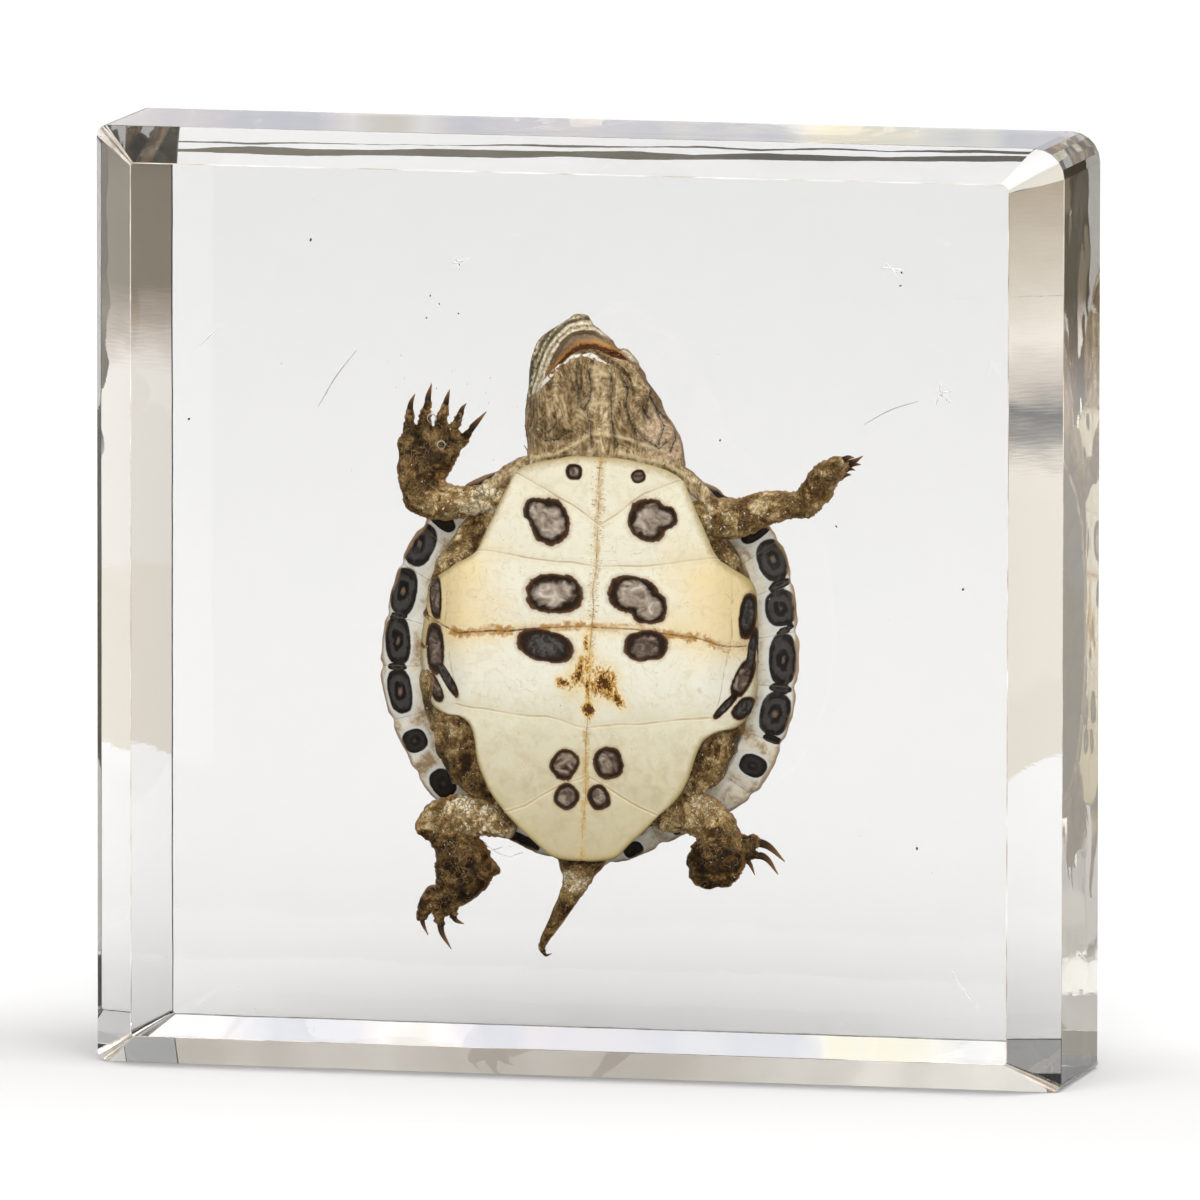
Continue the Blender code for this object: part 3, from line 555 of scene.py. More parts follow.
def stretched(tree, vector, by):
    return node(tree, "VectorMath", {0: vector, 1: by}, operation="MULTIPLY").outputs["Vector"]


def height_of(tree, vector):
    return node(tree, "SeparateXYZ", {0: vector}).outputs["Z"]


def mix(tree, factor, a, b):
    a, b = (c if isinstance(c, bpy.types.NodeSocket) else (*c, 1.0) for c in (a, b))
    return node(tree, "Mix", {0: factor, 6: a, 7: b}, data_type="RGBA").outputs[2]


def ramp(tree, value, stops):
    """Colours between stops of position and colour."""
    made = node(tree, "ValToRGB", {"Fac": value})
    elements = made.color_ramp.elements
    while len(elements) < len(stops):
        elements.new(0.5)
    for element, (position, colour) in zip(elements, stops):
        element.position, element.color = position, (*colour, 1.0)
    return made.outputs["Color"]


class Paint:
    """A material under way, with short names for its usual nodes."""

    def __init__(self, name):
        self.material = bpy.data.materials.new(name)
        self.material.use_nodes = True
        self.tree = self.material.node_tree
        self.shader = self.tree.nodes["Principled BSDF"]
        where = node(self.tree, "TexCoord").outputs["Object"]
        self.mm = node(self.tree, "VectorMath", {0: where, "Scale": 1000.0},
                       operation="SCALE").outputs["Vector"]

    def fields(self, *names):
        return [node(self.tree, "Attribute", attribute_name=name).outputs["Fac"] for name in names]

    def math(self, operation, a, b=0.0, c=0.0):
        return node(self.tree, "Math", {0: a, 1: b, 2: c}, operation=operation).outputs[0]

    def times(self, a, b):
        return self.math("MULTIPLY", a, b)

    def scaled(self, value, by, plus):
        return self.math("MULTIPLY_ADD", value, by, plus)

    def size(self, value):
        return self.math("ABSOLUTE", value)

    def centred(self, value):
        return self.math("SUBTRACT", value, 0.5)

    def crease(self, value):
        """0 along the winding lines where a noise passes its middle."""
        return self.size(self.centred(value))

    def step(self, value, low, high, out_low=0.0, out_high=1.0):
        return span(self.tree, value, low, high, out_low, out_high, "SMOOTHSTEP")

    def noise(self, per_mm, detail, distortion=0.0, stretch=None):
        place = stretched(self.tree, self.mm, stretch) if stretch else self.mm
        return noise(self.tree, place, per_mm, detail, distortion)

    def contours(self, per_mm, count, stretch=None):
        """Nested wavy lines, as in skin that has dried in folds: 0 in the valleys, 1 on the crests."""
        smooth = self.noise(per_mm, 1.5, 1.2, stretch)
        return self.times(self.math("PINGPONG", self.times(smooth, count), 0.5), 2.0)

    def web(self, per_mm, wobble):
        """Distance to the borders of bent cells."""
        bend = node(self.tree, "TexNoise", {"Vector": self.mm, "Scale": 0.8 * per_mm, "Detail": 1.5})
        bend = node(self.tree, "VectorMath", {0: bend.outputs["Color"], "Scale": wobble}, operation="SCALE")
        place = node(self.tree, "VectorMath", {0: self.mm, 1: bend.outputs["Vector"]}, operation="ADD")
        values = {"Vector": place.outputs["Vector"], "Scale": per_mm}
        return node(self.tree, "TexVoronoi", values, feature="DISTANCE_TO_EDGE").outputs["Distance"]

    def mix(self, factor, a, b):
        return mix(self.tree, factor, a, b)

    def ramp(self, value, stops):
        return ramp(self.tree, value, stops)

    def over(self, base, colour, value, low, high, amount=1.0):
        """The colour laid over the base as the value goes from low to high."""
        return self.mix(self.step(value, low, high, 0.0, amount), base, colour)

    def finish(self, colour, roughness, bump=None, depth=0.02, **sockets):
        sockets = {"Base Color": colour, "Roughness": roughness, "Specular IOR Level": 0.08, **sockets}
        if bump:
            made = node(self.tree, "Bump", {"Height": bump, "Strength": 1.0, "Distance": depth * MM})
            sockets["Normal"] = made.outputs["Normal"]
            if "Coat Weight" in sockets:
                sockets["Coat Normal"] = made.outputs["Normal"]
        fill(self.tree, self.shader, sockets)
        return self.material


def skin_material():
    """Dry skin: painted shade in its valleys, painted highlights on its crests, painted glints, and amber
    painted rim light where it turns side-on.
    """
    p = Paint("dry_skin")
    relief, tone, edge, claw = p.fields("relief", "tone", "edge", "claw")
    fine, broad = p.noise(3.2, 2.5, 0.8), p.noise(0.8, 3.0, 0.8)
    swirl = p.contours(0.62, 8.0)
    web = p.web(1.9, 1.3)
    level = p.scaled(tone, 0.78, -0.3)
    level = p.scaled(p.step(fine, 0.3, 0.7), 0.16, level)
    # swirl's fold lines are partly a pattern in the skin and partly painted shade in their valleys; relief
    # paints shade into the valleys and highlights onto the crests
    level = p.scaled(swirl, 0.16, level)
    level = p.scaled(p.step(broad, 0.36, 0.64), 0.4, level)
    level = p.scaled(relief, 0.24, level)
    colour = p.ramp(level, (
        (0.0, (0.012, 0.006, 0.002)), (0.2, (0.053, 0.027, 0.008)), (0.4, (0.15, 0.084, 0.027)),
        (0.58, (0.35, 0.212, 0.08)), (0.78, (0.62, 0.45, 0.21)), (1.0, (0.95, 0.84, 0.6))))
    curl = p.crease(p.noise(0.7, 1.5, 2.5))
    colour = p.over(colour, (0.02, 0.011, 0.004), curl, 0.05, 0.02, 0.48)
    patches = p.step(p.noise(0.6, 2.0), 0.4, 0.55)
    colour = p.mix(p.times(p.step(web, 0.16, 0.07), p.times(patches, 0.5)), colour, (0.03, 0.014, 0.004))
    colour = p.mix(p.times(p.step(web, 0.05, 0.018), p.times(patches, 0.54)), colour, (0.45, 0.3, 0.13))
    glint = p.scaled(tone, 0.12, p.noise(4.5, 2.0, 0.8))
    colour = p.over(colour, (0.97, 0.92, 0.78), glint, 0.73, 0.78, 0.9)
    # Amber painted rim light where the skin turns side-on to the front, standing for light shining through
    # thin skin from behind
    colour = p.mix(p.times(p.step(edge, 0.35, 0.85), 0.7), colour, (0.42, 0.2, 0.06))
    horn = p.over((0.035, 0.02, 0.012), (0.3, 0.14, 0.05), claw, 0.2, 1.0)
    colour = p.over(colour, horn, claw, 0.02, 0.12)
    rough = p.step(fine, 0.3, 0.7, 0.28, 0.6)
    bump = p.scaled(p.step(web, 0.1, 0.02), 0.5, p.scaled(swirl, 0.35, fine))
    return p.finish(colour, rough, bump, 0.045, **{"Coat Weight": 0.06, "Coat Roughness": 0.12})


def belly_ground(p, fine):
    """Cream plates, warmer at the sides, mottled low down and brown at the outer edge."""
    high, wide, edge = p.fields("high", "wide", "edge")
    broad = p.noise(0.35, 3.0)
    # The plates get darker and more olive towards the bottom: partly their own colour, partly painted shade
    # under the light from above
    base = p.ramp(p.scaled(broad, 0.16, p.math("SUBTRACT", high, 0.08)), (
        (0.0, (0.58, 0.5, 0.31)), (0.3, (0.77, 0.72, 0.53)), (0.45, (0.92, 0.9, 0.76)),
        (0.62, (0.95, 0.92, 0.77)), (1.0, (0.95, 0.89, 0.69))))
    across = p.step(p.size(p.math("SUBTRACT", high, 0.64)), 0.2, 0.05)
    warm = p.times(p.step(p.scaled(broad, 0.5, wide), 0.6, 1.15), across)
    base = p.mix(p.times(warm, 0.85), base, (0.97, 0.76, 0.38))
    base = p.over(base, (0.66, 0.56, 0.34), fine, 0.6, 0.8, 0.16)
    base = p.over(base, (0.74, 0.64, 0.38), p.noise(0.9, 4.0, 1.5), 0.5, 0.7, 0.3)
    mottled = p.times(p.step(p.noise(0.9, 6.0, 0.6), 0.4, 0.7), p.times(p.step(high, 0.42, 0.2), 0.4))
    base = p.mix(mottled, base, (0.5, 0.41, 0.2))
    base = p.over(base, (0.6, 0.47, 0.24), p.crease(p.noise(0.6, 3.0, 1.5)), 0.01, 0.003, 0.35)
    return p.over(base, (0.5, 0.37, 0.13), p.scaled(fine, 0.04, edge), 0.96, 1.01, 0.75)


def belly_seams(p, base, fine, spread, cross, middle):
    """Faint seams between the plates, and the brown, barbed line down the middle."""
    bridge, high = p.fields("bridge", "high")
    thin = p.times(fine, 0.06)
    seam = p.math("MINIMUM", cross, middle)
    base = p.over(base, (0.76, 0.6, 0.32), p.scaled(p.noise(1.1, 3.0), -0.5, seam), 0.3, -0.3, 0.3)
    faint = p.step(p.noise(0.4, 2.0, 0.5), 0.4, 0.6, 0.15, 0.6)
    line = p.step(p.math("ADD", thin, p.math("MINIMUM", cross, bridge)), 0.12, 0.05)
    base = p.mix(p.times(line, faint), base, (0.5, 0.36, 0.17))
    base = p.over(base, (0.98, 0.96, 0.86), p.size(p.math("SUBTRACT", cross, 0.14)), 0.06, 0.02, 0.3)
    tan = p.times(p.step(p.scaled(spread, -1.3, middle), -0.25, -0.7), p.step(p.noise(0.3, 2.0), 0.4, 0.55))
    base = p.mix(p.times(tan, 0.75), base, (0.62, 0.4, 0.13))
    base = p.over(base, (0.26, 0.14, 0.05), p.math("ADD", thin, middle), 0.09, 0.03, 0.85)
    barbs = p.times(p.step(p.noise(5.5, 3.0, 1.5, (0.5, 1.0, 1.5)), 0.58, 0.64),
                    p.step(p.math("ADD", middle, p.times(high, -0.5)), 0.2, 0.05))
    return p.mix(p.times(barbs, 0.8), base, (0.36, 0.2, 0.06))


def belly_stains(p, base, fine, spread):
    """The rusty smear along one seam, the stain at the navel, glints on it, and freckles."""
    stain, navel, rich = p.fields("stain", "navel", "rich")
    base = p.over(base, (0.9, 0.7, 0.34), stain, 1.3, 0.1, 0.35)
    patchy = p.step(p.noise(0.5, 3.0, 0.8), 0.38, 0.6)
    smear = p.times(p.step(p.scaled(spread, -1.1, stain), -0.08, -0.4), patchy)
    base = p.mix(p.times(smear, 0.9), base, p.mix(fine, (0.16, 0.05, 0.006), (0.8, 0.4, 0.08)))
    rust = p.over((0.045, 0.018, 0.006), (0.4, 0.2, 0.05), spread, 0.4, 0.6)
    base = p.over(base, rust, p.scaled(fine, 0.06, stain), 0.13, 0.05, 0.9)
    base = p.over(base, (0.86, 0.62, 0.24), p.scaled(spread, -0.8, navel), 1.5, 0.1, 0.6)
    blot = p.math("ADD", navel, p.times(rich, -0.25))
    blot = p.scaled(p.noise(2.1, 7.0, 1.8, (1.3, 1.0, 0.8)), -2.2, blot)
    base = p.over(base, p.mix(fine, (0.3, 0.11, 0.012), (0.8, 0.44, 0.07)), blot, -0.4, -0.62, 0.9)
    dark_blot = p.scaled(p.noise(4.4, 4.0, 1.0), -1.2, blot)
    base = p.over(base, (0.07, 0.022, 0.004), dark_blot, -1.35, -1.6, 0.95)
    dots = p.times(p.step(p.noise(7.0, 1.0), 0.72, 0.76), p.step(navel, 1.3, 0.9))
    base = p.mix(dots, base, (1.0, 0.98, 0.92))
    freckles = p.times(p.step(p.noise(5.0, 2.0), 0.74, 0.78), p.step(p.noise(0.5, 2.0), 0.45, 0.6))
    return p.mix(p.times(freckles, 0.8), base, (0.4, 0.22, 0.07))


def belly_spots(p, base, fine):
    """Dark, uneven rings with a grey, folded heart, or with a nearly black one."""
    ring, dark = p.fields("ring", "dark")
    ragged = p.scaled(p.centred(p.noise(1.3, 3.5, 0.6)), 0.3, ring)
    folds = p.noise(0.8, 5.0, 1.6, (1.0, 1.0, 1.4))
    heart = p.ramp(p.scaled(folds, 1.05, p.scaled(dark, -0.5, 0.02)), (
        (0.12, (0.04, 0.025, 0.017)), (0.3, (0.15, 0.105, 0.078)), (0.45, (0.32, 0.25, 0.19)),
        (0.6, (0.48, 0.4, 0.32)), (0.76, (0.78, 0.72, 0.62))))
    black = p.ramp(fine, ((0.35, (0.022, 0.02, 0.019)), (0.7, (0.13, 0.115, 0.1))))
    heart = p.over(heart, black, dark, 0.5, 0.68)
    band = p.over((0.02, 0.01, 0.005), (0.14, 0.06, 0.022), ragged, 0.82, 1.03)
    band = p.over(band, (0.07, 0.034, 0.016), p.noise(1.5, 3.0, 0.6), 0.52, 0.7, 0.6)
    inner = p.scaled(p.centred(p.noise(0.55, 3.0, 0.5)), 0.75, ragged)
    spot = p.over(heart, band, inner, 0.5, 0.76)
    base = p.over(base, (0.3, 0.17, 0.07), ragged, 1.22, 1.0, 0.35)
    return p.over(base, spot, ragged, 1.04, 0.98)


def belly_material():
    p = Paint("belly_plates")
    cross, middle = p.fields("cross", "middle")
    cross = p.size(cross)
    fine, spread = p.noise(3.0, 5.0, 0.3), p.noise(1.4, 5.0, 1.6)
    base = belly_seams(p, belly_ground(p, fine), fine, spread, cross, middle)
    colour = belly_spots(p, belly_stains(p, base, fine, spread), fine)
    groove = p.step(p.math("MINIMUM", cross, middle), 0.14, 0.03)
    height = p.scaled(groove, -0.9, p.scaled(p.noise(6.0, 3.0), 0.4, fine))
    return p.finish(colour, p.step(fine, 0.3, 0.7, 0.3, 0.45), height, 0.025)


def rim_material():
    """The back shell: pale plates with ringed spots under the rim, dark olive plates on the back."""
    p = Paint("back_plates")
    ring, dark, seam, rim, back, relief = p.fields("ring", "dark", "seam", "rim", "back", "relief")
    fine = p.noise(3.4, 5.0, 0.4)
    broad = p.noise(0.6, 4.0, 0.5)
    pale = p.ramp(p.scaled(fine, 0.3, broad),
                  ((0.5, (0.42, 0.3, 0.17)), (0.64, (0.8, 0.72, 0.56)), (0.85, (0.95, 0.93, 0.84))))
    ragged = p.scaled(p.centred(p.noise(1.4, 3.0, 0.6)), 0.12, ring)
    uneven = p.scaled(p.centred(p.noise(0.9, 4.0, 1.0)), 0.55, ragged)
    bands = p.ramp(uneven, ((0.0, (0.26, 0.16, 0.1)), (0.11, (0.12, 0.085, 0.065)),
                            (0.2, (0.013, 0.011, 0.01)), (0.38, (0.016, 0.014, 0.013)),
                            (0.48, (0.075, 0.065, 0.06)), (0.68, (0.06, 0.052, 0.046)),
                            (0.8, (0.014, 0.012, 0.012)), (0.97, (0.03, 0.022, 0.018))))
    bands = p.over(bands, (0.1, 0.09, 0.085), p.noise(1.6, 4.0, 0.5, (1.0, 1.0, 0.4)), 0.52, 0.66, 0.4)
    spot = p.over(bands, (0.02, 0.015, 0.012), dark, 0.35, 0.95, 0.85)
    under = p.over(pale, spot, ragged, 1.06, 0.96)
    under = p.mix(p.times(p.step(ragged, 1.5, 1.0), p.step(ragged, 0.96, 1.08)), under, (0.8, 0.81, 0.76))
    seam = p.scaled(fine, 0.08, p.size(seam))
    under = p.over(under, (0.2, 0.15, 0.09), seam, 0.09, 0.04, 0.5)
    under = p.over(under, (0.42, 0.27, 0.15), p.scaled(broad, 0.04, rim), 0.993, 1.012, 0.85)
    streaks = p.noise(1.2, 5.0, 2.0)
    over = p.ramp(p.scaled(relief, 0.2, streaks),
                  ((0.35, (0.04, 0.037, 0.02)), (0.65, (0.075, 0.07, 0.032)), (0.85, (0.2, 0.17, 0.07))))
    growth = p.math("SINE", p.times(p.scaled(fine, 0.15, seam), 9.0))
    over = p.over(over, (0.16, 0.15, 0.07), growth, 0.0, 1.0, 0.35)
    over = p.over(over, (0.015, 0.013, 0.008), seam, 0.26, 0.08, 0.85)
    colour = p.over(under, over, back, 0.4, 0.6)
    return p.finish(colour, p.step(fine, 0.3, 0.7, 0.25, 0.45), p.scaled(p.noise(6.0, 3.0), 0.4, fine), 0.02)


def head_material():
    """Throat skin, horny jaws with pale edges, and the amber roof of the mouth, with painted shade,
    highlights and glints.
    """
    p = Paint("head_skin")
    relief, line, fold, lip, rim = p.fields("relief", "line", "fold", "lip", "rim")
    roof, streak, pink, band, edge = p.fields("roof", "streak", "pink", "band", "edge")
    fine, broad = p.noise(3.6, 2.5, 0.8), p.noise(0.8, 3.0, 0.8)
    long = p.noise(1.6, 3.0, 1.2, (1.0, 1.0, 0.35))
    swirl = p.contours(0.62, 8.0, (1.0, 1.0, 0.6))
    level = p.scaled(p.step(fine, 0.3, 0.7), 0.18, p.scaled(p.step(long, 0.32, 0.68), 0.26, 0.0))
    # swirl and relief darken the valleys and lighten the crests: painted shade and painted highlights
    level = p.scaled(swirl, 0.2, level)
    level = p.scaled(relief, 0.22, p.scaled(p.step(broad, 0.35, 0.65), 0.16, level))
    level = p.scaled(band, 0.14, level)
    colour = p.ramp(level, ((0.08, (0.03, 0.017, 0.007)), (0.3, (0.14, 0.088, 0.038)),
                            (0.5, (0.32, 0.215, 0.1)), (0.7, (0.55, 0.41, 0.225)),
                            (0.9, (0.84, 0.7, 0.46)), (1.0, (0.97, 0.9, 0.7))))
    tint = p.ramp(fine, ((0.3, (0.42, 0.25, 0.13)), (0.55, (0.78, 0.58, 0.38)), (0.75, (0.97, 0.86, 0.66))))
    colour = p.mix(p.times(pink, 0.8), colour, tint)
    colour = p.over(colour, (0.74, 0.6, 0.34), p.scaled(long, -0.3, fold), 0.1, -0.12, 0.85)
    colour = p.over(colour, (0.03, 0.016, 0.008), p.noise(2.3, 2.0, 0.4), 0.68, 0.74, 0.8)
    ragged = p.scaled(p.centred(fine), 0.16, line)
    # The wide soft dark halo beside each throat groove is painted shade; the narrow core below is the skin's
    # own dark line
    colour = p.over(colour, (0.06, 0.036, 0.02), ragged, 0.4, 0.05, 0.4)
    colour = p.over(colour, (0.02, 0.014, 0.01), ragged, 0.09, 0.02, 0.8)
    wave = p.scaled(p.math("SINE", p.times(streak, 13.0)), 0.09,
                    p.scaled(p.noise(2.0, 5.0, 1.5), 0.5, p.times(fine, 0.5)))
    olive = p.ramp(wave, ((0.34, (0.05, 0.038, 0.02)), (0.48, (0.17, 0.135, 0.075)),
                          (0.58, (0.42, 0.34, 0.2)), (0.68, (0.85, 0.77, 0.56))))
    cream = p.ramp(wave, ((0.34, (0.2, 0.14, 0.07)), (0.48, (0.5, 0.4, 0.25)), (0.62, (0.8, 0.72, 0.53)),
                          (0.72, (0.97, 0.94, 0.82))))
    shell = p.over(cream, olive, p.scaled(fine, 0.3, streak), 0.85, 1.0)
    colour = p.over(colour, shell, rim, 0.3, 0.6)
    # White painted glints, broken up along the lower jaw's edge
    lip_glints = p.times(p.step(lip, 0.25, 0.55), p.step(p.noise(1.9, 2.0, 1.0), 0.4, 0.5))
    colour = p.over(colour, (0.3, 0.17, 0.07), lip, 0.2, 0.6, 0.6)
    colour = p.mix(lip_glints, colour, (0.98, 0.94, 0.84))
    # The roof goes from grey-brown to amber and then near black just above the lower jaw; the near black is
    # painted shade in the gap
    inside = p.ramp(p.scaled(fine, 0.35, roof),
                    ((0.25, (0.11, 0.075, 0.045)), (0.5, (0.33, 0.235, 0.14)), (0.8, (0.62, 0.32, 0.1)),
                     (1.1, (0.34, 0.13, 0.03)), (1.3, (0.09, 0.032, 0.01))))
    colour = p.over(colour, inside, roof, 0.04, 0.12)
    # White flecks over the head: painted glints
    colour = p.over(colour, (0.95, 0.88, 0.72), p.noise(4.2, 2.0, 0.8), 0.7, 0.75, 0.8)
    # Darker brown where the surface turns side-on to the front: painted shade at the outline
    colour = p.over(colour, (0.2, 0.1, 0.04), edge, 0.5, 0.85, 0.6)
    bump = p.scaled(swirl, 0.7, fine)
    return p.finish(colour, p.step(fine, 0.3, 0.7, 0.25, 0.55), bump, 0.05,
                    **{"Coat Weight": 0.2, "Coat Roughness": 0.12})


def resin_material():
    p = Paint("clear_resin")
    wave = p.noise(0.12, 2.0)
    scratch = p.noise(0.5, 2.0, 0.0, (1.0, 1.0, 9.0))
    tint = p.ramp(wave, ((0.3, (0.99, 0.99, 0.995)), (0.7, (1.0, 1.0, 0.995))))
    haze = node(p.tree, "VolumeAbsorption", {"Color": (0.6, 0.594, 0.575, 1.0), "Density": 24.0})
    p.tree.links.new(haze.outputs["Volume"], p.tree.nodes["Material Output"].inputs["Volume"])
    return p.finish(tint, 0.0, p.scaled(scratch, 0.02, wave), 0.03,
                    **{"IOR": 1.5, "Transmission Weight": 1.0, "Specular IOR Level": 0.5})


def edge_material():
    """The cut edges of the resin: the same clear resin with an uneven brown cast."""
    p = Paint("resin_edges")
    cast = p.noise(0.3, 4.0, 0.5)
    return p.finish(p.ramp(cast, ((0.35, (0.3, 0.22, 0.14)), (0.5, (0.62, 0.52, 0.4)),
                                  (0.68, (0.97, 0.94, 0.9)))), 0.05,
                    **{"IOR": 1.5, "Transmission Weight": 1.0, "Specular IOR Level": 0.5})


# The resin block: one clear casting with cut edges

def block_outline(side_inset, end_inset, share, y, foot_shift=0.0):
    half, low, high = WIDTH / 2 - side_inset, end_inset, HEIGHT - end_inset
    ring = []
    corners = (-half, low), (half, low), (half, high), (-half, high)
    steps = 5
    for quarter, ((x, z), radius) in enumerate(zip(corners, CORNER_RADII)):
        radius *= share
        middle_x, middle_z = x - math.copysign(radius, x), z + radius if z == low else z - radius
        for step in range(steps + 1):
            turn = math.pi * (1 + 0.5 * (quarter + step / steps))
            ring.append((middle_x + radius * math.cos(turn), y + foot_shift * max(0, -math.sin(turn)),
                         middle_z + radius * math.sin(turn)))
    return np.array(ring)


def make_resin():
    flat, shoulder = DEPTH / 2, DEPTH / 2 - BEVEL_DEPTH
    rings = [block_outline(SIDE_BEVEL, END_BEVEL, 0.3, -flat), block_outline(0, 0, 1, -shoulder),
             block_outline(0, 0, 1, shoulder, BEVEL_DEPTH - FOOT_BEVEL_DEPTH),
             block_outline(SIDE_BEVEL, END_BEVEL, 0.3, flat)]
    made = rings_object("resin_block", rings, poles=False)
    edge = made.modifiers.new("edge", "BEVEL")
    edge.width, edge.segments, edge.limit_method, edge.angle_limit = 0.12, 2, "ANGLE", math.radians(25)
    apply(made)
    settle(made, resin_material(), ("block_front", "block_back"), 20)
    made.data.materials.append(edge_material())
    for face in made.data.polygons:
        face.use_smooth = face.area < 3 * MM * MM
        corners = [made.data.vertices[i].co for i in face.vertices]
        length = max((a - b).length for a, b in zip(corners, corners[1:] + corners[:1]))
        face.material_index = int(face.area < 0.2 * MM * length)


# The shells

def rim_depth(angles):
    rise = np.sin(angles)
    return 0.2 + np.where(rise > 0, 2.4, 0.8) * rise ** 2


def seam_angle_gap(angles):
    """Angle to the nearest seam of the rim, with signs that agree halfway between neighbours."""
    seams = np.radians(sorted(RIM_SEAMS))
    gap = (angles[:, None] - seams[None, :] + math.pi) % (2 * math.pi) - math.pi
    gap *= (-1.0) ** np.arange(len(seams))
    return np.take_along_axis(gap, np.abs(gap).argmin(axis=1)[:, None], 1)[:, 0]


def pole(centre, y):
    return np.array(((centre[0], y, centre[1]),))


def polar(centre, angles, reach, y):
    """Points round a centre in the front view, at a depth."""
    y = np.broadcast_to(y, angles.shape)
    return np.stack((centre[0] + reach * np.cos(angles), y, centre[1] + reach * np.sin(angles)), 1)


def polar_share(flat, centre, outline):
    """The angle of each point round a centre, the outline's reach there, and the share of it."""
    angles = np.arctan2(flat[:, 1] - centre[1], flat[:, 0] - centre[0])
    full = outline_reach(outline, centre, angles)
    return angles, full, np.hypot(*(flat - centre).T) / full


def carapace_rings(sides):
    angles = 2 * math.pi * np.arange(sides) / sides
    reach = outline_reach(CARAPACE_OUTLINE, SHELL, angles)
    gap = seam_angle_gap(angles) * reach
    rough = grain(np.stack((angles * 20, gap, gap), 1), 1.0, 3)
    reach = reach - 0.14 * np.exp(-(gap / 0.35) ** 2) - 0.05 * (1 + rough)
    depth = rim_depth(angles)
    band = 0.8 + 0.08 * np.sin(angles) ** 2

    def ring(share, y):
        return polar(SHELL, angles, reach * share, y)

    def dome(share):
        x = SHELL[0] + reach * share * np.cos(angles)
        keel = 0.45 * np.exp(-((x - SHELL[0]) / 1.6) ** 2)
        return depth * share ** 2 + 7.2 * (1 - share ** 2) ** 0.75 + keel * (1 - share ** 2)

    shares = np.sin(np.linspace(0.03, math.pi / 2, 52))
    rings = [pole(SHELL, 7.65)] + [ring(share, dome(share)) for share in shares]
    above = 1 + np.count_nonzero(shares <= 0.985)
    rings += [ring(1 - 0.025 * k * k, depth - 0.5 * k) for k in np.linspace(0.25, 1, 4)]
    rings += [ring(0.975 + (band - 0.975) * k, depth - 0.5 - 0.8 * k ** 0.8)
              for k in np.linspace(0.05, 1, 28)]
    rings += [ring(band - inset, depth + lift)
              for inset, lift in ((0.012, -1.22), (0.025, -1.0), (0.035, -0.5), (0.04, 1.0))]
    rings += [ring(share, dome(share) - 1.0) for share in (0.68, 0.5, 0.27, 0.1)] + [pole(SHELL, 6.65)]
    return rings, np.concatenate([np.full(len(r), float(k < above)) for k, r in enumerate(rings)])


def back_seams():
    middle_left = [(SHELL[0] - half, z) for z, half in VERTEBRAL_ROWS]
    middle_right = [(SHELL[0] + half, z) for z, half in VERTEBRAL_ROWS]
    paths = [middle_left, middle_right]
    paths += [((SHELL[0] - half, z), (SHELL[0] + half, z)) for z, half in VERTEBRAL_ROWS[::2]]
    for z, turn in BACK_SPOKES:
        half = dict(VERTEBRAL_ROWS)[z]
        for sign in (-1, 1):
            angle = math.radians(turn)
            end = (SHELL[0] + sign * 13.2 * math.cos(angle), SHELL[1] + 12.6 * math.sin(angle))
            paths.append(((SHELL[0] + sign * half, z), end))
    return paths


def make_carapace():
    rings, back = carapace_rings(560)
    made = rings_object("back_shell", rings)
    co, no = points_and_normals(made)
    flat = co[:, (0, 2)]
    angles, full, share = polar_share(flat, SHELL, CARAPACE_OUTLINE)
    radial = seam_angle_gap(angles) * share * full
    outer = np.where(share > 0.79, np.abs(radial), 9.0)
    girdle = np.abs(share - 0.79) * full
    seam = np.where(back > 0.5, np.minimum(np.minimum(outer, girdle), nearest_path(flat, back_seams())),
                    radial)
    relief = 0.5 + 0.5 * grain(co, 1.1, 2)
    low_pillow = 0.45 * (1 - np.exp(-(seam / 0.4) ** 2))
    pillow = 0.16 * np.where(back > 0.5, 1 - np.exp(-(seam / 0.9) ** 2), low_pillow)
    pillow += 0.05 * grain(co, 1.4, 4) + 0.02 * grain(co, 4.0, 5)
    co += no * (pillow - 0.16)[:, None]
    move_points(made, co)
    ring, dark = spot_field(flat, RIM_SPOTS)
    store(made, ring=ring, dark=dark, seam=seam, rim=share, back=back, relief=relief)
    settle(made, rim_material(), ("carapace",))


def belly_depth(x):
    return BELLY_Y + 0.17 * np.maximum(0, np.abs(x - BELLY[0]) - 8.5) ** 2


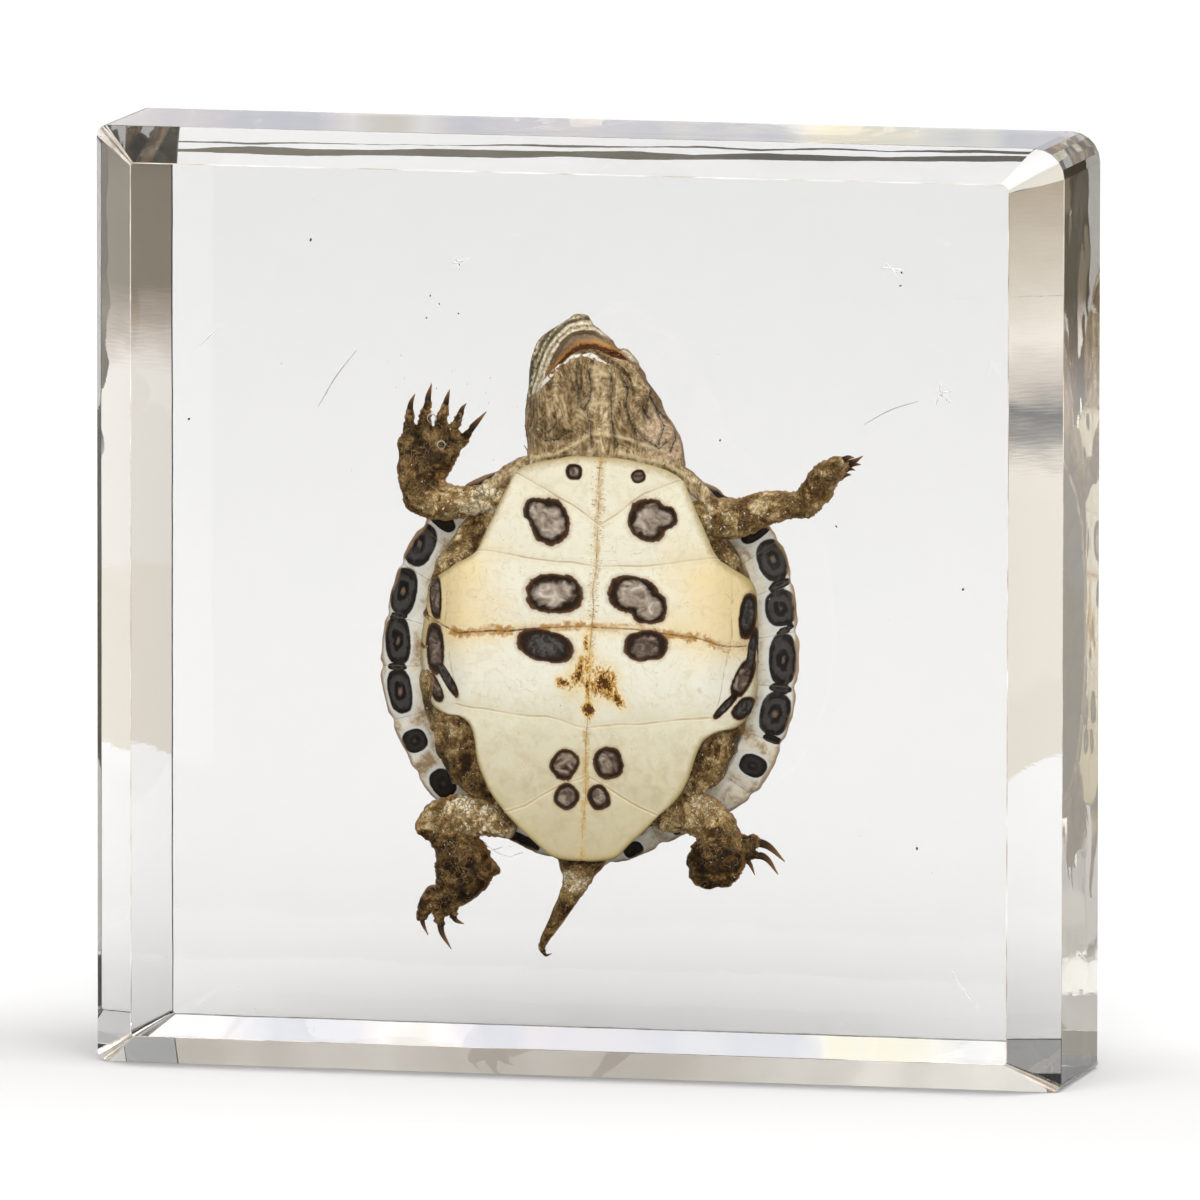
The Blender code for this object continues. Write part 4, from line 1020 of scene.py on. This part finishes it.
def make_plastron():
    sides, wall = 560, 0.9
    angles = 2 * math.pi * np.arange(sides) / sides
    reach = outline_reach(PLASTRON_OUTLINE, BELLY, angles)
    wobble = grain(np.stack((np.cos(angles) * 12, np.sin(angles) * 12, angles * 0), 1), 1.0, 6)
    reach = reach + 0.05 * wobble - 0.04

    def ring(share, lift):
        made = polar(BELLY, angles, reach * share, 0.0)
        made[:, 1] = belly_depth(made[:, 0]) + lift
        return made

    rings = [pole(BELLY, BELLY_Y)] + [ring(share, 0.0) for share in np.linspace(0.015, 0.97, 96)]
    rings += [ring(0.97 + 0.028 * math.sin(turn), 0.5 * wall * (1 - math.cos(turn)))
              for turn in np.radians((20, 45, 70, 90, 120, 160))]
    rings += [ring(share, wall) for share in (0.95, 0.85, 0.7, 0.5, 0.25)] + [pole(BELLY, BELLY_Y + wall)]
    made = rings_object("belly_shell", rings)
    co, no = points_and_normals(made)
    flat = co[:, (0, 2)]
    crooked = flat + 0.12 * np.stack((grain(co, 0.6, 1), grain(co, 0.6, 2)), 1)
    cross = signed_seams(crooked, CROSS_SEAMS)
    middle = path_distance(crooked, MIDLINE)
    bridge = nearest_path(crooked, BRIDGE_SEAMS)
    groove = np.minimum(np.minimum(np.abs(cross), middle), bridge + 0.2)
    front = co[:, 1] < belly_depth(co[:, 0]) + 0.3
    pillow = 0.12 * (1 - np.exp(-(groove / 1.3) ** 2)) + 0.035 * (1 - np.exp(-(groove / 0.3) ** 2))
    ring_at, dark = spot_field(flat, BELLY_SPOTS + BRIDGE_SPOTS)
    pillow += 0.05 * grain(co, 0.5, 3) + 0.012 * grain(co, 3.0, 4)
    pillow -= 0.05 * ease(ring_at, 1.05, 0.85) * front
    bent = crooked + 0.2 * np.stack((grain(co, 1.5, 5), grain(co, 1.5, 6)), 1)
    navel, rich = spot_field(bent, NAVEL_STAINS)
    pillow += 0.12 * ease(navel, 1.1, 0.5) * ridges(co, 1.6, 9) * front
    co += no * (pillow * front - 0.2)[:, None]
    move_points(made, co)
    share = polar_share(flat, BELLY, PLASTRON_OUTLINE)[2]
    store(made, ring=ring_at, dark=dark, cross=cross, bridge=bridge, middle=middle, navel=navel, rich=rich,
          stain=path_distance(crooked, STAINED_SEAM), high=(co[:, 2] - 16) / 32,
          wide=np.abs(co[:, 0] - BELLY[0]) / 12, edge=share)
    settle(made, belly_material(), ("plastron",))


# The soft parts

def dress(made, lengths, claws, folds, lumps):
    """Relief of dry skin on a remeshed part, and the fields that its material reads."""
    lines = [spline(rows) for rows in lengths]
    rows = np.vstack(lines)
    along = np.vstack([np.gradient(line[:, (0, 2, 1)], axis=0) for line in lines])
    along /= np.linalg.norm(along, axis=1)[:, None]
    co, no = points_and_normals(made)
    middles = rows[:, (0, 2, 1)]
    gap = (co ** 2).sum(1)[:, None] + (middles ** 2).sum(1) - 2 * co @ middles.T
    weight = 1 / (gap / (rows[:, 3] * rows[:, 4]) + 0.15) ** 4
    weight /= weight.sum(1)[:, None]
    tone, along = weight @ rows[:, 5], weight @ along
    tips = np.zeros(len(co))
    for root, bend, tip, radius in claws:
        line = spline((root, bend, tip), 6)[:, (0, 2, 1)]
        spread = np.linalg.norm(co[:, None, :] - line[None, :, :], axis=2)
        place = spread.argmin(axis=1)
        inside = spread.min(axis=1) < radius * (1.15 - 0.5 * place / len(line)) + 0.02
        horn = 0.08 + 0.92 * (place - 2) / (len(line) - 3)
        tips = np.where(inside & (place > 2), np.maximum(tips, horn), tips)
    skin = ease(tips, 0.05, 0.0)
    run = co - 0.7 * along * np.sum(co * along, axis=1)[:, None]
    crest = ridges(run, 1.05, 1)
    small = cells(co + 0.1 * np.stack([grain(co, 2.0, k) for k in range(3)], 1), 2.0)
    fine = ridges(run, 2.4, 7)
    lift = lumps * grain(co, 0.75, 2) + folds * (crest - 0.5)
    lift = lift + 0.012 * (small - 0.6) + 0.03 * (fine - 0.5)
    co += no * (lift * skin)[:, None]
    move_points(made, co)
    relief = np.clip(0.55 * crest + 0.12 * small + 0.35 * fine, 0, 1)
    # relief also sets the painted shade and highlights in the skin's colour, and edge sets its painted amber
    # rim light
    return dict(relief=relief, tone=tone, edge=(1 - np.abs(no[:, 1])) * skin, claw=tips)


def make_limb(material, name, node_name, lengths, claws, folds, lumps):
    made = merge(name, [tube("length", rows) for rows in lengths])
    remesh(made, 0.13)
    horns = []
    for root, bend, tip, radius in claws:
        rows = [(*p, radius * k, radius * k) for p, k in zip((root, bend, tip), (1.0, 0.72, 0.12))]
        horns.append(tube("horn", rows, 10))
    boolean(made, merge("horns", horns), "UNION")
    store(made, **dress(made, lengths, claws, folds, lumps))
    settle(made, material, (node_name,))


def make_head():
    made = merge("head", [tube("skull", SKULL, 32)])
    boolean(made, tube("palate", PALATE, 24), "DIFFERENCE")
    collars = [tube("collar", rows) for rows in COLLAR]
    made = merge("turtle_head", [made, tube("jaw", LOWER_JAW, 28), *collars])
    remesh(made, 0.115, 3)
    co, no = points_and_normals(made)
    flat = co[:, (0, 2)]
    x, z = flat.T
    facing = ease(-no[:, 1], -0.1, 0.35)
    crooked = flat + 0.07 * np.stack((grain(co, 1.0, 1), grain(co, 1.0, 2)), 1)
    mouth, jaw = path_distance(flat, MOUTH_EDGE), path_distance(flat, JAW_EDGE)
    line, fold = nearest_path(crooked, THROAT_LINES), nearest_path(crooked, CROSS_FOLDS)
    jaw_high, mouth_high = (np.interp(x, *zip(*edge)) for edge in (JAW_EDGE, MOUTH_EDGE))
    within = (x > -3.4) & (x < 4.4)
    upper = within & (z > jaw_high + 0.05) & (z < mouth_high - 0.05) & (co[:, 1] > -4.0)
    hollow = ease(np.minimum(mouth, jaw), 0.02, 0.35) * upper * facing
    beyond = (x <= -3.4) & (z > 52.0 + 0.5 * (x + 3.4))
    beyond |= (x >= 4.4) & (z > 53.7 + 0.8 * (x - 4.4))
    outside = np.where(within, z > np.maximum(mouth_high, jaw_high), beyond)
    throat = ~upper & ~outside
    bead = np.exp(-(mouth / 0.3) ** 2) * (co[:, 1] > -4.0) * facing * outside
    lip = np.exp(-(jaw / 0.3) ** 2) * (co[:, 1] < -3.2) * (1 - outside)
    run = co * np.array((1.0, 1.0, 0.42))
    crest, small, fine = ridges(run, 1.15, 3), cells(co, 2.4), ridges(run, 2.6, 5)
    skin = 0.12 * (crest - 0.5) + 0.012 * (small - 0.6) + 0.03 * (fine - 0.5) + 0.1 * grain(co, 0.7, 8)
    lift = 0.1 * bead + 0.12 * lip + throat * skin
    lift += throat * facing * (0.16 * np.exp(-(fold / 0.25) ** 2) - 0.16 * np.exp(-(line / 0.16) ** 2))
    waves = 0.04 * np.sin(mouth * 9 + grain(co, 1.5, 4) * 2)
    lift += outside * (waves - 0.12 * np.exp(-((mouth - 0.85) / 0.12) ** 2))
    co += no * lift[:, None]
    co[:, 1] += 0.5 * hollow
    move_points(made, co)
    depth_in = ease(z, jaw_high + 1.1, jaw_high - 0.1)
    seen = throat & (facing > 0.3)
    off_middle = np.abs(x - np.interp(z, (47, 54), (1.9, 1.7)))
    pale = ease(off_middle, 1.5, 0.9) * ease(z, 54.2, 53.2)
    pale = np.maximum(pale, ease(z, 49.0, 47.4) * 0.9)
    store(made, relief=np.clip(0.5 * crest + 0.1 * small + 0.4 * fine, 0, 1), line=np.where(seen, line, 9.0),
          fold=np.where(seen, fold, 9.0), lip=lip, rim=outside * 1.0, band=pale * throat,
          roof=np.where(upper, 0.3 + 0.9 * depth_in, 0.0), streak=mouth + 0.12 * grain(co, 1.2, 6),
          pink=ease(np.hypot((x - 6.5) / 1.9, (z - 49.0) / 2.6), 1.1, 0.5), edge=1 - np.abs(no[:, 1]))
    settle(made, head_material(), ("head",))


def make_trunk(material):
    rows = ((0.3, 0, -4.45), (0.5, 0.1, -4.3), (0.66, 0.14, -3.5), (0.75, 0.07, -2.5), (0.79, 0.0, -1.6),
            (0.79, 0, -0.4), (0.72, 0, 1.0), (0.58, 0, 2.8), (0.32, 0, 4.4))
    angles = 2 * math.pi * np.arange(64) / 64
    reach = outline_reach(CARAPACE_OUTLINE, SHELL, angles)
    rings = [pole(SHELL, -4.45)]
    for share, swell, y in spline(rows, 3):
        far = share * (1 + swell * np.sin(2 * angles) ** 2)
        far = far + 0.1 * ease(share, 0.6, 0.79) * np.sin(angles) ** 2
        rings.append(polar(SHELL, angles, reach * far, y))
    made = rings_object("trunk_skin", rings + [pole(SHELL, 4.5)])
    remesh(made, 0.2, 2)
    co, no = points_and_normals(made)
    stretched = co * np.array((1.0, 0.5, 0.55))
    crest, small = ridges(stretched, 0.9, 2), cells(co, 1.8)
    lift = 0.24 * (crest - 0.6) + 0.05 * (small - 0.5) + 0.15 * grain(co, 0.4, 1)
    co += no * lift[:, None]
    move_points(made, co)
    low = ease(co[:, 2], 30, 22)
    tone = 0.5 - 0.22 * low * ease(co[:, 0], 4, -4) + 0.2 * grain(co, 0.5, 6)
    none = np.zeros(len(co))
    store(made, relief=np.clip(0.65 * crest + 0.35 * small, 0, 1), tone=tone, edge=none, claw=none)
    settle(made, material, ("body",))


# Small things in the casting: hairs, bubbles, specks and scratches

def flaw_material():
    """Dark specks, amber hairs and white cracks, by the field that each of them carries."""
    p = Paint("inclusions")
    kind, = p.fields("kind")
    fine = p.noise(6.0, 3.0)
    return p.finish(p.ramp(p.scaled(fine, 0.1, kind), (
        (0.0, (0.03, 0.02, 0.012)), (0.25, (0.16, 0.1, 0.05)), (0.5, (0.5, 0.3, 0.15)),
        (0.75, (0.42, 0.41, 0.4)), (1.0, (1.0, 1.0, 1.0)))), 0.5)


def make_flaws():
    rng = np.random.default_rng(5)
    items, kinds = [], []

    def add(made, kind):
        items.append(made)
        kinds.append(np.full(len(made.data.vertices), kind))

    def hair(points, radius, kind, depth=-4.0):
        rows = [(x, z, depth, radius * k, radius * k) for (x, z), k in zip(points, (0.5, 1.0, 0.5))]
        add(tube("hair", rows, 5), kind)

    def speck(x, z, radius, kind, depth=-4.0):
        spin = Euler(rng.uniform(0, 6.3, 3)).to_matrix().to_4x4()
        place = Matrix.Translation((x, depth, z)) @ spin @ Matrix.Diagonal((1, 0.6, 0.7, 1))
        made = mesh_object("speck", (), ())
        shape = dict(subdivisions=1, radius=radius, matrix=place)
        edit_mesh(made, lambda bm: bmesh.ops.create_icosphere(bm, **shape))
        add(made, kind)

    # Each bubble is a thin grey-white ring, a painted highlight that stands for its bright rim
    for x, z, radius in BUBBLES:
        turns = np.linspace(0, 2 * math.pi, 17)
        rows = [(x + radius * math.cos(t), z + radius * math.sin(t), -3.9, *[0.032 + 0.02 * math.sin(t)] * 2)
                for t in turns]
        add(tube("bubble", rows, 6), 0.74)
    for x, z, spread in CRACKS:
        for turn in rng.uniform(0, 2 * math.pi, 5):
            reach = spread * rng.uniform(0.5, 1.0)
            dx, dz = reach * math.cos(turn), reach * math.sin(turn)
            hair(((x, z), (x + 0.4 * dx, z + 0.4 * dz), (x + dx, z + dz)), 0.07, 1.0)
        speck(x + 0.15, z - 0.2, 0.09, 0.15)
    for (x0, z0), (x1, z1), radius, kind, depth in HAIRS:
        bend = rng.uniform(-0.08, 0.08)
        middle = (0.5 * (x0 + x1) - bend * (z1 - z0), 0.5 * (z0 + z1) + bend * (x1 - x0))
        hair(((x0, z0), middle, (x1, z1)), radius, kind, depth)
    for x, z, radius in SPECKS:
        speck(x, z, radius, 0.1)
    for _ in range(70):
        speck(rng.uniform(-33, 33), rng.uniform(4, 67), rng.uniform(0.025, 0.06), rng.choice((0.15, 0.95)),
              rng.uniform(-8, -5.9))
    for _ in range(60):
        speck(-11.8 + 3.4 * rng.normal(), 50.2 + 2.2 * rng.normal(), rng.uniform(0.025, 0.055),
              rng.choice((0.15, 0.5)))
    made = merge("inclusions", items)
    store(made, kind=np.concatenate(kinds))
    settle(made, flaw_material())


# The room: pale floor, soft light from a bright sky, and cards that only the glass sees

DARK, OLIVE, PALE = (0.15, 0.125, 0.09), (0.27, 0.23, 0.17), (1.02, 0.97, 0.9)
WARM, PEACH, TAUPE = (0.98, 0.92, 0.82), (1.0, 0.93, 0.82), (0.48, 0.43, 0.37)
UPRIGHT_HIGH = 90

# Upright cards: left and right end, distance, the height where the stripes start and end, their waviness,
# the strength, and the colours up the card
UPRIGHT_CARDS = {
    "far_right_card_inner": (20, 47.1, 300, 0, 40, 3, 1.0, (
        (0.0, PALE), (0.22, PALE), (0.34, (0.13, 0.12, 0.1)), (0.5, DARK), (0.6, OLIVE), (0.7, DARK),
        (1.0, DARK))),
    "far_right_card_outer": (47.1, 130, 300, 0, 40, 3, 1.0, (
        (0.0, PALE), (0.47, PALE), (0.57, (0.55, 0.47, 0.39)), (0.68, OLIVE), (0.9, (0.26, 0.22, 0.16)),
        (1.0, DARK))),
    "far_left_card": (-300, -130, 300, 0, 30, 3, 1.0, (
        (0.0, PEACH), (0.15, PEACH), (0.23, (0.42, 0.4, 0.37)), (0.3, (0.2, 0.2, 0.195)),
        (0.4, (0.72, 0.64, 0.57)), (0.55, (1.05, 0.98, 0.87)), (0.72, (0.8, 0.72, 0.6)),
        (1.0, (0.5, 0.41, 0.29)))),
    "near_left_card": (-66, -51, -60, 20, 60, 4, 3.5, (
        (0.0, PALE), (0.22, PALE), (0.3, DARK), (0.38, DARK), (0.46, PALE), (0.6, PALE), (0.74, DARK),
        (1.0, DARK))),
}
# Pale yellow, blue and violet tints that stand for the rainbow of the resin's dispersion: painted light
CLOUD_TINTS = ((0.3, (1.3, 1.22, 0.95)), (0.4, (1.3, 1.28, 1.18)), (0.46, (1.0, 1.02, 1.1)),
               (0.52, (1.18, 1.12, 1.15)), (0.58, (1.3, 1.28, 1.26)), (0.68, (1.0, 0.9, 0.8)))

# The slim cards behind the block lie edge-on to the camera, so only the block's top shows them
SLIM_BANDS = ((14.0, 14.9, 0.3), (15.5, 15.75, 0.2))
# Their dark and olive bands stand for the shadowed floor close behind the block, seen through the top:
# painted shadow
SLIM_TINTS = ((0.0, (0.1, 0.09, 0.065)), (0.5, (0.36, 0.32, 0.22)), (1.0, (0.12, 0.11, 0.09)))
SLIM_PARTS = 18

# The sky: a large soft box overhead, a fill from the front and a dimmer back, each with the cosines where
# it starts and is full, and the strength that it adds
SKY_LEVEL = 0.7
SKY_LIGHTS = (((0.25, -0.42, 0.87), 0.6, 0.95, 2.8), ((0.1, -0.96, 0.26), 0.5, 0.95, 2.7),
              ((-0.25, 0.85, 0.48), 0.5, 0.95, -0.2))

CAMERA_PLACE = (0.467537, -2.01, 0.286940)
CAMERA_TURN = (("Z", 0.22844886), ("X", -0.12118396), ("Y", -0.00123237))
CAMERA_FOCUS = 27408.47 / 1200  # focal length over the width of the image


def panel(name, corners, build):
    """One or more four-sided cards that glow with the colour and strength of build(tree, place)."""
    material = bpy.data.materials.new(name)
    material.use_nodes = True
    tree = material.node_tree
    tree.nodes.clear()
    colour, strength = build(tree, node(tree, "TexCoord").outputs["Object"])
    glow = node(tree, "Emission", {"Color": colour, "Strength": strength})
    node(tree, "OutputMaterial", {"Surface": glow.outputs[0]})
    material.cycles.emission_sampling = "NONE"
    corners = np.array(corners, float).reshape(-1, 3) * MM
    made = mesh_object(name, corners, np.arange(len(corners)).reshape(-1, 4))
    made.data.materials.append(material)
    made.visible_camera = made.visible_shadow = made.visible_diffuse = False


def striped(stops, low, high, wobble, strength=1.0):
    def build(tree, place):
        drift = noise(tree, place, 25.0, 2.0)
        z = node(tree, "Math", {0: drift, 1: wobble * MM, 2: height_of(tree, place)},
                 operation="MULTIPLY_ADD")
        return ramp(tree, span(tree, z.outputs[0], low * MM, high * MM), stops), strength
    return build


def clouds(tree, place):
    """Pale tints low down for the foot and the top, taupe higher up for the front bevel."""
    drift = noise(tree, stretched(tree, place, (30.0, 1.0, 9.0)), 1.0, 3.0, 0.6)
    above = mix(tree, span(tree, drift, 0.38, 0.6), TAUPE, (1.0, 0.96, 0.88))
    high = span(tree, height_of(tree, place), 0.13, 0.145)
    return mix(tree, high, ramp(tree, drift, CLOUD_TINTS), above), 1.0


def upright(left, right, y, low, high):
    return (left, y, low), (right, y, low), (right, y, high), (left, y, high)


def slim_corners():
    rng = np.random.default_rng(3)
    x = np.linspace(-45, 40, SLIM_PARTS)
    made = []
    for low, high, spread in SLIM_BANDS:
        near, far = (edge + spread * rng.uniform(-1, 1, SLIM_PARTS) for edge in (low, high))
        for i in range(SLIM_PARTS - 1):
            corners = ((x[i], near[i]), (x[i + 1], near[i + 1]), (x[i + 1], far[i + 1]), (x[i], far[i]))
            made += [(u, v, 57.2 + 0.02 * (u + 45) - 0.1088 * (v - 14)) for u, v in corners]
    return made


def make_panels():
    for name, (left, right, y, low, high, wobble, strength, stops) in UPRIGHT_CARDS.items():
        panel(name, upright(left, right, y, 0.5, UPRIGHT_HIGH), striped(stops, low, high, wobble, strength))
    panel("rear_card", upright(-190, 40, 300, 92, 215), clouds)
    panel("slim_card", slim_corners(), striped(SLIM_TINTS, 56, 59, 2))
    warm = striped(((0.0, WARM), (1.0, WARM)), 0, 1, 1)
    panel("left_ground_card", ((-330, 10.5, 0.5), (-40.5, 10.5, 0.5), (-125, 300, 0.5), (-330, 300, 0.5)),
          warm)
    panel("right_ground_card", ((38.5, 10.5, 0.5), (150, 10.5, 0.5), (150, 300, 0.5), (0, 300, 0.5)), warm)
    black = striped(((0.0, (0.01, 0.01, 0.01)), (1.0, (0.015, 0.015, 0.015))), 0, 1, 1)
    panel("front_flag", ((-330, -900, 0.5), (-140, -900, 0.5), (30, -70, 0.5), (-80, -70, 0.5)), black)


def make_floor():
    floor = mesh_object("floor", [(-4, -4, 0), (4, -4, 0), (4, 6, 0), (-4, 6, 0)], [(0, 1, 2, 3)])
    p = Paint("pale_floor_painted_shade")
    away = node(p.tree, "SeparateXYZ", {0: p.mm}).outputs["Y"]
    # The floor darkens far behind the block: painted shade, as the light falls off with distance
    tint = p.ramp(p.step(away, 150, 750), ((0.0, (0.592, 0.59, 0.59)), (1.0, (0.525, 0.525, 0.527))))
    # A darker band round the block's foot: painted shadow
    near = p.times(p.step(away, -110, -15), p.step(away, 30, 0))
    tint = p.mix(near, tint, (0.495, 0.49, 0.49))
    floor.data.materials.append(p.finish(tint, 0.8, **{"Specular IOR Level": 0.1}))


def make_world():
    world = bpy.data.worlds.new("room")
    bpy.context.scene.world = world
    world.use_nodes = True
    tree = world.node_tree
    way = node(tree, "TexCoord").outputs["Generated"]
    level = SKY_LEVEL
    for direction, near, far, strength in SKY_LIGHTS:
        aim = tuple(Vector(direction).normalized())
        dot = node(tree, "VectorMath", {0: way, 1: aim}, operation="DOT_PRODUCT").outputs["Value"]
        part = span(tree, dot, near, far, 0.0, strength, "SMOOTHSTEP")
        level = node(tree, "Math", {0: part, 1: level}, operation="ADD").outputs[0]
    fill(tree, tree.nodes["Background"], {"Strength": level, "Color": (1.0, 1.0, 1.0, 1.0)})


def make_camera():
    camera = bpy.data.cameras.new("camera")
    holder = bpy.data.objects.new("camera", camera)
    bpy.context.scene.collection.objects.link(holder)
    place = Matrix.Translation(CAMERA_PLACE)
    for axis, turn in CAMERA_TURN:
        place = place @ Matrix.Rotation(turn, 4, axis)
    holder.matrix_world = place @ Matrix.Rotation(math.pi / 2, 4, "X")
    camera.sensor_width, camera.sensor_fit = 36.0, "HORIZONTAL"
    camera.lens = CAMERA_FOCUS * camera.sensor_width
    camera.clip_start, camera.clip_end = 0.1, 50
    bpy.context.scene.camera = holder


def main():
    make_resin()
    make_carapace()
    make_plastron()
    skin = skin_material()
    make_trunk(skin)
    make_head()
    for limb in LIMBS:
        make_limb(skin, *limb)
    make_flaws()
    make_floor()
    make_world()
    make_panels()
    make_camera()
    scene = bpy.context.scene
    scene.view_settings.view_transform = "Standard"
    cycles = scene.cycles
    cycles.max_bounces = cycles.transmission_bounces = 14
    cycles.glossy_bounces, cycles.diffuse_bounces = 10, 4
    cycles.sample_clamp_indirect, cycles.use_denoising = 6.0, True


main()
